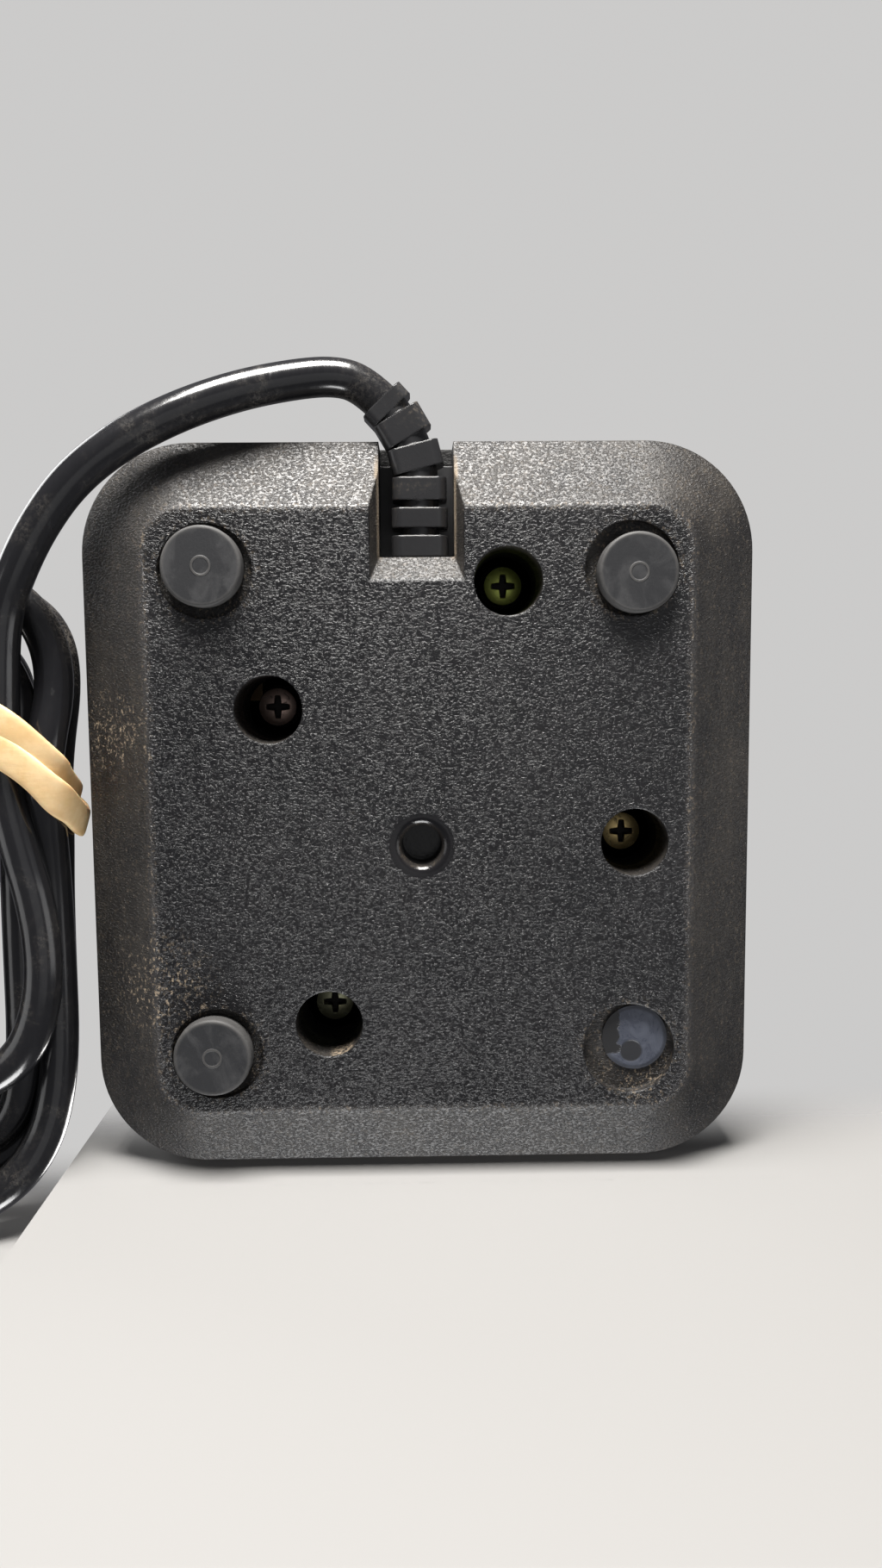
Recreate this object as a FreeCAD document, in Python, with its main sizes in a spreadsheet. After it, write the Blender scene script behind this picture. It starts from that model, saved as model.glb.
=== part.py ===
import FreeCAD, Part
import math
import os
import re
import Sketcher

# A corded ball-top joystick: a small two-part box with a stick on a gimbal, four leaf contacts,
# two fire buttons, and a thin lead that is folded into a hank and ends in a nine-way plug.
# Frame: +Z up, +Y to the back, where the lead comes out; origin under the box's centre, at the feet.

SIZES = {
    # the box
    "housing_width": 104, "housing_length": 114, "housing_height": 41.8, "corner_radius": 17,
    "shell_wall": 2.5, "bevel_width": 10.7, "bevel_depth": 7, "top_bevel": 6, "parting_height": 14,
    # stick-on feet in their recesses
    "foot_radius": 6, "foot_stand": 2.2, "recess_radius": 7.1, "recess_depth": 1.5, "foot_inset": 20,
    "foot_edge": 0.5, "adhesive_thickness": 0.3, "residue_radius": 5.1,
    # housing screws in deep wells
    "well_radius": 5.2, "well_draft": 0.5, "well_wall": 1.5, "well_depth": 14.5, "well_roof": 2,
    "well_gap": 0.2,
    "screw_radius": 1.2, "screw_head_radius": 3, "screw_head_height": 2, "screw_length": 11,
    "screw_play": 0.3, "post_wall": 2.3,
    # the stick's pivot and the cored boss under it
    "pivot_back": -4.7, "pivot_height": 24, "boss_radius": 4.5, "boss_height": 6.8,
    "boss_bore": 3.1, "boss_bore_depth": 5.4, "boss_lip": 1.4,
    # yoke, gimbal ring and their pins
    "board_half_width": 24, "board_half_length": 14, "yoke_level": 10, "yoke_plate": 2,
    "upright_gap": 13.5, "upright_thickness": 3.5, "upright_half_length": 5, "upright_top": 5,
    "gate_half": 10.6, "ring_radius": 10.5, "ring_bore": 7, "ring_height": 5,
    "trunnion_radius": 1.5, "pin_radius": 1.25, "running_play": 0.05, "press_play": 0.02,
    "tie_screw_inset_x": 3.5, "tie_screw_inset_y": 4, "tie_boss_radius": 3,
    # stick
    "shaft_radius": 3, "shaft_below": 12.5, "hub_radius": 5.5, "hub_height": 6, "drum_radius": 8,
    "drum_height": 6, "drum_drop": 11, "neck_radius": 4.6, "clip_thickness": 0.9, "clip_radius": 4.6,
    "groove_depth": 0.4, "dome_radius": 24, "dome_wall": 1.6, "dome_reach": 13, "dome_play": 0.4,
    "dome_boss_radius": 5.2, "dome_boss_rise": 2, "sleeve_radius": 4.4, "ball_radius": 17,
    "ball_rise": 87, "insert_length": 16, "collar_play": 0.6, "collar_width": 5.4, "collar_rise": 1.5,
    # centring spring
    "spring_radius": 6.1, "spring_wire": 0.5, "spring_turns": 5,
    # contacts and the board
    "board_thickness": 1.6, "leaf_thickness": 0.25, "leaf_width": 7, "leaf_rise": 4.4,
    "leaf_play": 0.3, "leaf_spacing": 1.4,
    # fire buttons
    "button_radius": 8, "button_play": 0.35, "button_rise": 4, "button_inset_x": 19,
    "button_inset_y": 24, "button_edge": 1.2, "flange_radius": 9.8, "flange_height": 2, "flange_gap": 0.2,
    "stem_radius": 2.5, "stem_length": 7.8, "holder_half_width": 6,
    "holder_half_length": 16, "holder_thickness": 2.5, "holder_drop": 10.5, "holder_screw_reach": 13,
    "button_spring_radius": 4, "button_spring_wire": 0.35, "button_spring_turns": 5,
    "snap_radius": 2.6, "snap_rise": 0.4, "small_screw_radius": 0.8, "small_head_radius": 1.8,
    "small_head_height": 1.3, "small_screw_length": 8.4, "small_post_radius": 2.6, "bezel_width": 2,
    "bezel_rise": 1.2,
    # lead slot, strain relief and clamp
    "slot_offset": 0.3, "slot_half_width": 5.75, "slot_length": 17.8, "slot_lip": 3.8, "slot_edge": 1.4,
    "slot_wall": 1.6, "slot_end_wall": 6, "relief_offset": -0.2, "relief_level": 8.1,
    "relief_neck": 3, "relief_flange": 1.6, "relief_half_width": 4.4, "relief_half_height": 3.5,
    "relief_bend_back": 7,
    "relief_bend_radius": 18, "relief_bend_angle": 47, "clamp_level": 12.6, "clamp_thickness": 1.4,
    "clamp_reach": 9.5, "clamp_boss_radius": 2.6, "clamp_back": 10,
    # lead, hank, rubber band and plug
    "lead_diameter": 6, "hank_side": 54, "hank_width": 44, "hank_front": -67, "hank_back": 36,
    "hank_thickness": 13, "band_level": 6.5, "band_width": 9, "band_thickness": 1.5,
    "waist_width": 25, "waist_scoop": 12, "plug_side": 85.6, "plug_back": 53.5, "plug_relief_length": 15,
    "hood_width": 30, "hood_height": 14, "hood_length": 31, "hood_shoulder": 8, "skirt_width": 17,
    "skirt_height": 9, "skirt_length": 6.3, "skirt_wall": 0.5, "skirt_flange": 1, "contact_pitch": 2.76,
    "contact_rows": 2.84, "contact_radius": 0.75, "contact_wall": 0.25, "insert_play": 0.05,
    # the lead's cores
    "core_radius": 0.55, "core_spacing": 1.3, "core_spread": 1.7,
}

doc = FreeCAD.newDocument("joystick")
sheet = doc.addObject("Spreadsheet::Sheet", "Sizes")
for row, (alias, value) in enumerate(SIZES.items(), start=1):
    sheet.set("A%d" % row, alias)
    sheet.set("B%d" % row, str(value))
    sheet.setAlias("B%d" % row, alias)
doc.recompute()

# Levels and places that several pieces share, as formulas on the sheet's names
FACE = "foot_stand"
FLOOR = "(foot_stand + shell_wall)"
PARTING = "(foot_stand + parting_height)"
PANEL = "(foot_stand + housing_height)"
PANEL_UNDER = "(foot_stand + housing_height - shell_wall)"
BACK = "(housing_length / 2)"
SEAT = "(foot_stand + well_depth)"
WELL_TOP = "(foot_stand + well_depth + well_roof)"
YOKE_TOP = "(yoke_level + yoke_plate)"
BOARD_TOP = "(yoke_level + yoke_plate + board_thickness)"
DRUM_FOOT = "(pivot_height - drum_drop)"
HOLDER_FOOT = "(foot_stand + housing_height - shell_wall - holder_drop - holder_thickness)"
HOLDER_TOP = "(foot_stand + housing_height - shell_wall - holder_drop)"
FLANGE_TOP = "(foot_stand + housing_height - shell_wall - flange_gap)"
SLOT_END = "(housing_length / 2 - slot_length)"
RELIEF = "(foot_stand + relief_level)"
CLAMP = "(foot_stand + clamp_level)"
FOOT_X = "(housing_width / 2 - foot_inset)"
FOOT_Y = "(housing_length / 2 - foot_inset)"
BUTTON_X = "(housing_width / 2 - button_inset_x)"
BUTTON_Y = "(housing_length / 2 - button_inset_y)"
TIE_X = "(board_half_width - tie_screw_inset_x)"
TIE_Y = "(board_half_length - tie_screw_inset_y)"
HANK_X = "(hank_side + hank_width / 2)"

# The housing screws: one by the lead, and three round the pivot
SCREW_PLACES = {"lead": (-13.4, 40.0), "right": (23.0, 21.0), "left": (-32.7, 0.2), "front": (14.6, -27.8)}

# Each foot sits a little off the middle of its recess; the front left one is lost
FEET = {"rear_right": (1, 1, 0.2, 0.6), "rear_left": (-1, 1, -0.7, -0.7), "front_right": (1, -1, 0.5, 0.0)}
LOST_FOOT = (-1, -1, -1.1, 1.4)

# The lead's route from the strain relief to the hank, and from the hank to the plug
LEAD_ROUTE = [
    (5.53, 63.16, 10.3), (8.45, 65.89, 10.3), (12.6, 67.0, 9.9), (18.5, 66.3, 8.7), (27.0, 64.2, 6.6),
    (36.0, 60.7, 4.6), (44.4, 56.2, 3.4), (51.3, 50.9, 3.05), (56.4, 44.4, 3.05), (60.3, 37.4, 3.4),
    (63.2, 30.6, 4.4),
]
TAIL_ROUTE = [(83.2, 33.4, 5.0), (84.5, 38.6, 5.6), (85.5, 44.4, 6.4), (85.6, 49.5, 7.0), (85.6, 53.5, 7.0)]

# The strain relief's blocks: where each starts and ends along the axis, and its share of the root's width
RELIEF_BLOCKS = [(0.2, 3.4, 1.0), (4.6, 7.6, 0.98), (8.8, 12.2, 0.95), (13.4, 17.2, 0.91), (18.4, 22.4, 0.88)]
RELIEF_COLLAR = (23.2, 0.86)

WORD = re.compile(r"[a-z][a-z_0-9]*")
TURNS = {"X": FreeCAD.Rotation(0, 90, 0), "Y": FreeCAD.Rotation(FreeCAD.Vector(1, 0, 0), -90),
         "Z": FreeCAD.Rotation()}
ALONG_Y = FreeCAD.Vector(0, 1, 0)
nodes = []


def formula(text):
    """The text with the sheet's name put before each of its aliases."""
    return WORD.sub(lambda word: "Sizes." + word.group() if word.group() in SIZES else word.group(), text)


def bind(thing, **formulas):
    """Ties properties of an object to formulas on the sheet."""
    for name, text in formulas.items():
        thing.setExpression(name, formula(text))
    return thing


def place(thing, x, y, z):
    """Ties an object's position to three formulas."""
    for axis, text in zip("xyz", (x, y, z)):
        thing.setExpression(".Placement.Base." + axis, formula(text))
    return thing


def cylinder(name, radius, height, x="0", y="0", z="0", axis="Z"):
    """A cylinder from its end's centre along an axis."""
    thing = bind(doc.addObject("Part::Cylinder", name), Radius=radius, Height=height)
    thing.Placement.Rotation = TURNS[axis]
    return place(thing, x, y, z)


def cone(name, low, high, height, x="0", y="0", z="0", axis="Z"):
    """A cone from its low end's centre along an axis."""
    thing = bind(doc.addObject("Part::Cone", name), Radius1=low, Radius2=high, Height=height)
    thing.Placement.Rotation = TURNS[axis]
    return place(thing, x, y, z)


def box(name, width, length, height, x="0", y="0", z="0"):
    """A box centred on x and y that stands on z."""
    thing = bind(doc.addObject("Part::Box", name), Width=length, Length=width, Height=height)
    return place(thing, "%s - (%s) / 2" % (x, width), "%s - (%s) / 2" % (y, length), z)


def sphere(name, radius, x="0", y="0", z="0"):
    """A ball."""
    return place(bind(doc.addObject("Part::Sphere", name), Radius=radius), x, y, z)


def fuse(name, *shapes):
    """One solid, or one group of solids, from several."""
    thing = doc.addObject("Part::MultiFuse", name)
    thing.Shapes = list(shapes)
    return thing


def common(name, *shapes):
    """What several solids share."""
    thing = doc.addObject("Part::MultiCommon", name)
    thing.Shapes = list(shapes)
    return thing


def cut(name, base, *tools):
    """A solid less some others."""
    thing = doc.addObject("Part::Cut", name)
    thing.Base = base
    thing.Tool = tools[0] if len(tools) == 1 else fuse(name + "_tools", *tools)
    return thing


def group(name, *shapes):
    """Separate solids that share a node."""
    thing = doc.addObject("Part::Compound", name)
    thing.Links = list(shapes)
    return thing


def node(thing, label):
    """Names a finished sub-part."""
    thing.Label = label
    nodes.append(thing)
    return thing


def plain(text):
    """A formula's value, for what is worked out in this script; the sheet works it out in a spare cell."""
    sheet.set("D1", "=" + text)
    sheet.recompute()
    return float(sheet.get("D1"))


def bevelled_block(name, width, length, radius, height, bevel_width, bevel_depth, level, top):
    """A rounded rectangle's prism with a bevel round its top or its foot."""
    body = doc.addObject("PartDesign::Body", name)
    plane = next(f for f in body.Origin.OriginFeatures if f.Role == "XY_Plane")
    sketch = body.newObject("Sketcher::SketchObject", name + "_outline")
    sketch.AttachmentSupport = [(plane, "")]
    sketch.MapMode = "FlatFace"
    half_x, half_y, curve = plain(width) / 2, plain(length) / 2, plain(radius)
    corners = [(half_x - curve, -half_y + curve), (half_x - curve, half_y - curve),
               (-half_x + curve, half_y - curve), (-half_x + curve, -half_y + curve)]
    starts = [FreeCAD.Vector(-half_x + curve, -half_y), FreeCAD.Vector(half_x, -half_y + curve),
              FreeCAD.Vector(half_x - curve, half_y), FreeCAD.Vector(-half_x, half_y - curve)]
    ends = [FreeCAD.Vector(half_x - curve, -half_y), FreeCAD.Vector(half_x, half_y - curve),
            FreeCAD.Vector(-half_x + curve, half_y), FreeCAD.Vector(-half_x, -half_y + curve)]
    for side in range(4):
        sketch.addGeometry(Part.LineSegment(starts[side], ends[side]), False)
        circle = Part.Circle(FreeCAD.Vector(*corners[side]), FreeCAD.Vector(0, 0, 1), curve)
        first = math.radians(90 * side - 90)
        sketch.addGeometry(Part.ArcOfCircle(circle, first, first + math.pi / 2), False)
    for piece in range(8):
        sketch.addConstraint(Sketcher.Constraint("Tangent", piece, 2, (piece + 1) % 8, 1))
    for side, direction in enumerate(("Horizontal", "Vertical", "Horizontal", "Vertical")):
        sketch.addConstraint(Sketcher.Constraint(direction, 2 * side))
    for arc in (3, 5, 7):
        sketch.addConstraint(Sketcher.Constraint("Equal", 1, arc))
    sketch.addConstraint(Sketcher.Constraint("Symmetric", 1, 3, 5, 3, -1, 1))
    spans = (("radius", "Radius", (1,), curve, radius),
             ("width", "DistanceX", (6, 1, 2, 1), 2 * half_x, width),
             ("length", "DistanceY", (0, 1, 4, 1), 2 * half_y, length))
    for label, kind, picks, start, text in spans:
        index = sketch.addConstraint(Sketcher.Constraint(kind, *picks, start))
        sketch.renameConstraint(index, label)
        sketch.setExpression("Constraints." + label, formula(text))
    pad = body.newObject("PartDesign::Pad", name + "_pad")
    pad.Profile = sketch
    bind(pad, Length=height)
    doc.recompute()
    levels = [face.CenterOfMass.z for face in pad.Shape.Faces]
    rim = levels.index(max(levels) if top else min(levels)) + 1
    bevel = body.newObject("PartDesign::Chamfer", name + "_bevel")
    bevel.Base = (pad, ["Face%d" % rim])
    bevel.ChamferType = "Two distances"
    bind(bevel, Size=bevel_depth, Size2=bevel_width)
    body.Tip = bevel
    doc.recompute()
    place(body, "0", "0", level)
    return body


def inner_depth(width, depth):
    """How deep a bevel is inside a wall of even thickness, below the flat that it meets."""
    return "(%s - shell_wall - shell_wall * %s / %s + shell_wall * sqrt(1 + (%s / %s) ^ 2))" % (
        depth, depth, width, depth, width)


def shell_blocks(name, height, width, depth, level, hollow_level, top):
    """The outer block of a half of the box, and the block that hollows it."""
    outer = bevelled_block(name + "_outer", "housing_width", "housing_length", "corner_radius",
                           height, width, depth, level, top)
    inside = inner_depth(width, depth)
    hollow = bevelled_block(name + "_hollow", "housing_width - 2 * shell_wall",
                            "housing_length - 2 * shell_wall", "corner_radius - shell_wall",
                            height + " - shell_wall",
                            "%s * %s / %s" % (inside, width, depth), inside, hollow_level, top)
    return outer, hollow


def screw_place(name):
    """A housing screw's place, as formulas from the pivot."""
    across, along = SCREW_PLACES[name]
    return "%g" % across, "(pivot_back + %g)" % along


def both_ways(across, along):
    """The four corners of a rectangle as pairs of formulas."""
    return [("%d * %s" % (sx, across), "(pivot_back + %d * %s)" % (sy, along))
            for sx in (1, -1) for sy in (1, -1)]


def slot_block():
    """The walls of the lead's slot: a block round it, before the slot is cut."""
    return box("slot_walls", "2 * (slot_half_width + slot_wall)", "slot_length + slot_end_wall",
               "clamp_level", "slot_offset", "(%s - slot_length / 2 - slot_end_wall / 2)" % BACK, FACE)


def slot_cuts():
    """The slot, its flared edges on the underside and the way for the strain relief's neck."""
    run = box("slot_space", "2 * slot_half_width", "slot_length + 1", "parting_height + 2",
              "slot_offset", "(%s - slot_length / 2 + 0.5)" % BACK, "foot_stand - 1")
    lip = doc.addObject("Part::Wedge", "slot_lip_cut")
    bind(lip, Xmin="0", Xmax="2 * slot_half_width + 2 * slot_edge", X2min="slot_edge",
         X2max="2 * slot_half_width + slot_edge", Ymin="0", Ymax="slot_lip", Zmin="0",
         Zmax="slot_length + slot_lip + 1", Z2min="slot_lip", Z2max="slot_length + slot_lip + 1")
    lip.Placement.Rotation = FreeCAD.Rotation(FreeCAD.Vector(-1, 0, 0), FreeCAD.Vector(0, 0, 1),
                                              FreeCAD.Vector(0, 1, 0), "XYZ")
    place(lip, "slot_offset + slot_half_width + slot_edge", "(%s - slot_lip)" % SLOT_END, FACE)
    neck = cylinder("neck_way", "relief_neck + press_play", "slot_end_wall + 2", "relief_offset",
                    "(%s - slot_end_wall - 1)" % SLOT_END, RELIEF, "Y")
    open_top = box("neck_open_top", "2 * (relief_neck + press_play)", "slot_end_wall + 2",
                   "clamp_level - relief_level + 1", "relief_offset",
                   "(%s - slot_end_wall / 2)" % SLOT_END, RELIEF)
    return [run, lip, neck, open_top]


def lower_shell():
    """The tray under the parting line, with its wells, bosses, foot recesses and slot."""
    outer, hollow = shell_blocks("tray", "parting_height", "bevel_width", "bevel_depth", FACE, FLOOR, False)
    solids, cuts = [], []
    for name in SCREW_PLACES:
        x, y = screw_place(name)
        solids.append(cylinder("well_%s" % name, "well_radius + well_wall", "well_depth + well_roof", x, y,
                               FACE))
        cuts.append(cone("well_bore_%s" % name, "well_radius", "well_radius - well_draft", "well_depth", x, y,
                         FACE))
        cuts.append(cylinder("shank_way_%s" % name, "screw_radius + screw_play", "well_roof + 2", x, y,
                             SEAT + " - 1"))
    for sx in (1, -1):
        for sy in (1, -1):
            corner = "%d_%d" % (sx + 1, sy + 1)
            x, y = "%d * %s" % (sx, FOOT_X), "%d * %s" % (sy, FOOT_Y)
            solids.append(cylinder("foot_pad_" + corner, "recess_radius + shell_wall / 2", "shell_wall + 1",
                                   x, y, FACE))
            cuts.append(cylinder("recess_" + corner, "recess_radius", "recess_depth + 1", x, y,
                                 FACE + " - 1"))
    for index, (x, y) in enumerate(both_ways(TIE_X, TIE_Y)):
        solids.append(cylinder("tie_boss_%d" % index, "tie_boss_radius", "yoke_level - foot_stand", x, y,
                               FACE))
        cuts.append(cylinder("tie_pilot_%d" % index, "small_screw_radius + press_play",
                             "yoke_level - foot_stand", x, y, FLOOR))
    for side in (1, -1):
        x, y = "(slot_offset + %d * clamp_reach)" % side, "(%s - clamp_back)" % BACK
        solids.append(cylinder("clamp_boss_%d" % (side + 1), "clamp_boss_radius", "clamp_level", x, y, FACE))
        cuts.append(cylinder("clamp_pilot_%d" % (side + 1), "small_screw_radius + press_play",
                             "clamp_level - shell_wall", x, y, FLOOR + " + 1"))
    solids.append(cylinder("pivot_boss", "boss_radius", "boss_height", "0", "pivot_back", FACE))
    solids.append(slot_block())
    mouth = cylinder("boss_mouth_disc", "boss_bore + boss_lip", "boss_lip", "0", "pivot_back", FACE)
    ring = bind(doc.addObject("Part::Torus", "boss_mouth_ring"), Radius1="boss_bore + boss_lip",
                Radius2="boss_lip")
    place(ring, "0", "pivot_back", FACE + " + boss_lip")
    cuts.append(cut("boss_mouth", mouth, ring))
    cuts.append(cylinder("boss_hole", "boss_bore", "boss_bore_depth", "0", "pivot_back", FACE))
    cuts.extend(slot_cuts())
    skin = cut("tray_skin", outer, hollow)
    inside = common("tray_inside", fuse("tray_bosses", *solids), outer)
    return node(cut("lower_tray", fuse("tray_full", skin, inside), *cuts), "lower_shell")


def upper_shell():
    """The cover over the parting line, with the stick's seat, the button holes and the screw posts."""
    height = "(housing_height - parting_height)"
    outer, hollow = shell_blocks("cover", height, "top_bevel", "top_bevel", PARTING, PARTING, True)
    solids, cuts = [], []
    for name in SCREW_PLACES:
        x, y = screw_place(name)
        solids.append(cylinder("post_%s" % name, "screw_radius + post_wall",
                               "%s - %s" % (PANEL_UNDER, WELL_TOP), x, y, WELL_TOP))
        cuts.append(cylinder("post_pilot_%s" % name, "screw_radius + press_play", "screw_length", x, y,
                             WELL_TOP + " - 1"))
    for side in (1, -1):
        x = "%d * %s" % (side, BUTTON_X)
        solids.append(cylinder("bezel_%d" % (side + 1), "button_radius + button_play + bezel_width",
                               "bezel_rise + shell_wall", x, BUTTON_Y, PANEL_UNDER))
        cuts.append(cylinder("button_hole_%d" % (side + 1), "button_radius + button_play",
                             "bezel_rise + shell_wall + 2", x, BUTTON_Y, PANEL_UNDER + " - 1"))
        for end in (1, -1):
            y = "(%s + %d * holder_screw_reach)" % (BUTTON_Y, end)
            tag = "%d_%d" % (side + 1, end + 1)
            solids.append(cylinder("holder_post_" + tag, "small_post_radius", "holder_drop", x, y,
                                   HOLDER_TOP))
            cuts.append(cylinder("holder_pilot_" + tag, "small_screw_radius + press_play",
                                 "small_screw_length - 3", x, y, HOLDER_TOP))
    cuts.append(sphere("stick_seat", "dome_radius + dome_play", "0", "pivot_back", "pivot_height"))
    skin = cut("cover_skin", outer, hollow)
    return node(cut("cover", fuse("cover_full", skin, *solids), *cuts), "upper_shell")


def screw(name, radius, head_radius, head_height, length, x, y, z, up=True):
    """A pan-head screw with a crossed recess; z is the head's seat, and the shank goes up or down."""
    way = 1 if up else -1
    head_foot = "%s - %s" % (z, head_height) if up else z
    shank_foot = z if up else "%s - (%s)" % (z, length)
    head = cylinder(name + "_head", head_radius, head_height, x, y, head_foot)
    shank = cylinder(name + "_shank", radius, length, x, y, shank_foot)
    depth = "%s * 0.6" % head_height
    cross_foot = "%s - %s * 1.001" % (z, head_height) if up else "%s + %s * 0.401" % (z, head_height)
    bars = [box("%s_cross_%d" % (name, turn), "%s * %s" % (head_radius, wide),
                "%s * %s" % (head_radius, deep), depth, x, y, cross_foot)
            for turn, (wide, deep) in enumerate(((1.1, 0.3), (0.3, 1.1)))]
    return cut(name, fuse(name + "_blank", head, shank), *bars)


def screws():
    """All the screws, in one node for each kind."""
    housing = [screw("housing_screw_" + name, "screw_radius", "screw_head_radius", "screw_head_height",
                     "screw_length", *screw_place(name), SEAT) for name in SCREW_PLACES]
    node(group("housing_screw_set", *housing), "housing_screws")
    ties = [screw("tie_screw_%d" % index, "small_screw_radius", "small_head_radius", "small_head_height",
                  "yoke_plate + board_thickness + 4.5", x, y, BOARD_TOP, up=False)
            for index, (x, y) in enumerate(both_ways(TIE_X, TIE_Y))]
    node(group("tie_screw_set", *ties), "yoke_screws")
    holders = []
    for side in (1, -1):
        for end in (1, -1):
            holders.append(screw("holder_screw_%d_%d" % (side + 1, end + 1), "small_screw_radius",
                                 "small_head_radius", "small_head_height", "small_screw_length",
                                 "%d * %s" % (side, BUTTON_X),
                                 "(%s + %d * holder_screw_reach)" % (BUTTON_Y, end),
                                 "(%s - board_thickness)" % HOLDER_FOOT))
    node(group("holder_screw_set", *holders), "button_screws")
    clamps = [screw("clamp_screw_%d" % (side + 1), "small_screw_radius", "small_head_radius",
                    "small_head_height", "clamp_thickness + 5",
                    "(slot_offset + %d * clamp_reach)" % side, "(%s - clamp_back)" % BACK,
                    "(%s + clamp_thickness)" % CLAMP, up=False) for side in (1, -1)]
    node(group("clamp_screw_set", *clamps), "clamp_screws")


def feet():
    """Three stick-on feet with their adhesive, and the adhesive that the lost one left."""
    top = "(foot_stand + recess_depth - adhesive_thickness)"
    pads = []
    for name, (sx, sy, dx, dy) in FEET.items():
        x, y = "(%d * %s + %g)" % (sx, FOOT_X, dx), "(%d * %s + %g)" % (sy, FOOT_Y, dy)
        disc = cylinder("foot_disc_" + name, "foot_radius", top, x, y, "0")
        edge = doc.addObject("Part::Fillet", "foot_round_" + name)
        edge.Base = disc
        doc.recompute()
        rim = next(i for i, e in enumerate(disc.Shape.Edges, 1) if e.Closed and e.BoundBox.ZMax < 0.1)
        edge.Edges = [(rim, plain("foot_edge"), plain("foot_edge"))]
        node(edge, "foot_" + name)
        pads.append(cylinder("foot_adhesive_" + name, "foot_radius - 0.2", "adhesive_thickness", x, y, top))
    node(group("foot_adhesive_set", *pads), "foot_adhesive_pads")
    sx, sy, dx, dy = LOST_FOOT
    node(cylinder("residue", "residue_radius", "adhesive_thickness", "(%d * %s + %g)" % (sx, FOOT_X, dx),
                  "(%d * %s + %g)" % (sy, FOOT_Y, dy), top), "adhesive_residue")


def well_gaps(name, wells, thickness, level):
    """Cutters that keep a flat piece clear of the screw wells beside it."""
    return [cylinder("%s_gap_%s" % (name, well), "well_radius + well_wall + well_gap", thickness + " + 2",
                     *screw_place(well), level + " - 1") for well in wells]


def yoke():
    """The plate on the tray's bosses whose uprights carry the gimbal ring."""
    plate = box("yoke_base", "2 * board_half_width", "2 * board_half_length", "yoke_plate", "0", "pivot_back",
                "yoke_level")
    parts, cuts = [plate], []
    middle = "(upright_gap + upright_thickness / 2)"
    for side in (1, -1):
        parts.append(box("upright_%d" % (side + 1), "upright_thickness", "2 * upright_half_length",
                         "pivot_height + upright_top - yoke_level", "%d * %s" % (side, middle), "pivot_back",
                         "yoke_level"))
    cuts.append(box("yoke_gate", "2 * gate_half", "2 * gate_half", "yoke_plate + 2", "0", "pivot_back",
                    "yoke_level - 1"))
    cuts.append(cylinder("trunnion_bores", "trunnion_radius + running_play",
                         "2 * (upright_gap + upright_thickness + 1)",
                         "-(upright_gap + upright_thickness + 1)", "pivot_back", "pivot_height", "X"))
    for index, (x, y) in enumerate(both_ways(TIE_X, TIE_Y)):
        cuts.append(cylinder("yoke_screw_way_%d" % index, "small_screw_radius + screw_play",
                             "yoke_plate + 2", x, y, "yoke_level - 1"))
    cuts += well_gaps("yoke", ("right", "left", "front"), "yoke_plate", "yoke_level")
    return node(cut("yoke", fuse("yoke_blank", *parts), *cuts), "pivot_yoke")


def gimbal():
    """The ring that turns on two trunnions and carries the stick's cross pin."""
    ring = cylinder("ring_disc", "ring_radius", "ring_height", "0", "pivot_back",
                    "pivot_height - ring_height / 2")
    trunnions = cylinder("trunnions", "trunnion_radius", "2 * (upright_gap + upright_thickness + 0.5)",
                         "-(upright_gap + upright_thickness + 0.5)", "pivot_back", "pivot_height", "X")
    bore = cylinder("ring_hole", "ring_bore", "ring_height + 2", "0", "pivot_back",
                    "pivot_height - ring_height / 2 - 1")
    ways = cylinder("pin_ways", "pin_radius + running_play", "2 * ring_radius + 2", "0",
                    "(pivot_back - ring_radius - 1)", "pivot_height", "Y")
    node(cut("gimbal", fuse("ring_blank", ring, trunnions), bore, ways), "gimbal_ring")
    node(cylinder("cross_pin", "pin_radius", "2 * ring_radius - 0.4", "0", "(pivot_back - ring_radius + 0.2)",
                  "pivot_height", "Y"), "pivot_pin")


def on_stick(name, radius, height, z):
    """A cylinder on the stick's axis; z is its foot's height from the pivot."""
    return cylinder(name, radius, height, "0", "pivot_back", "(pivot_height + %s)" % z)


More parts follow.
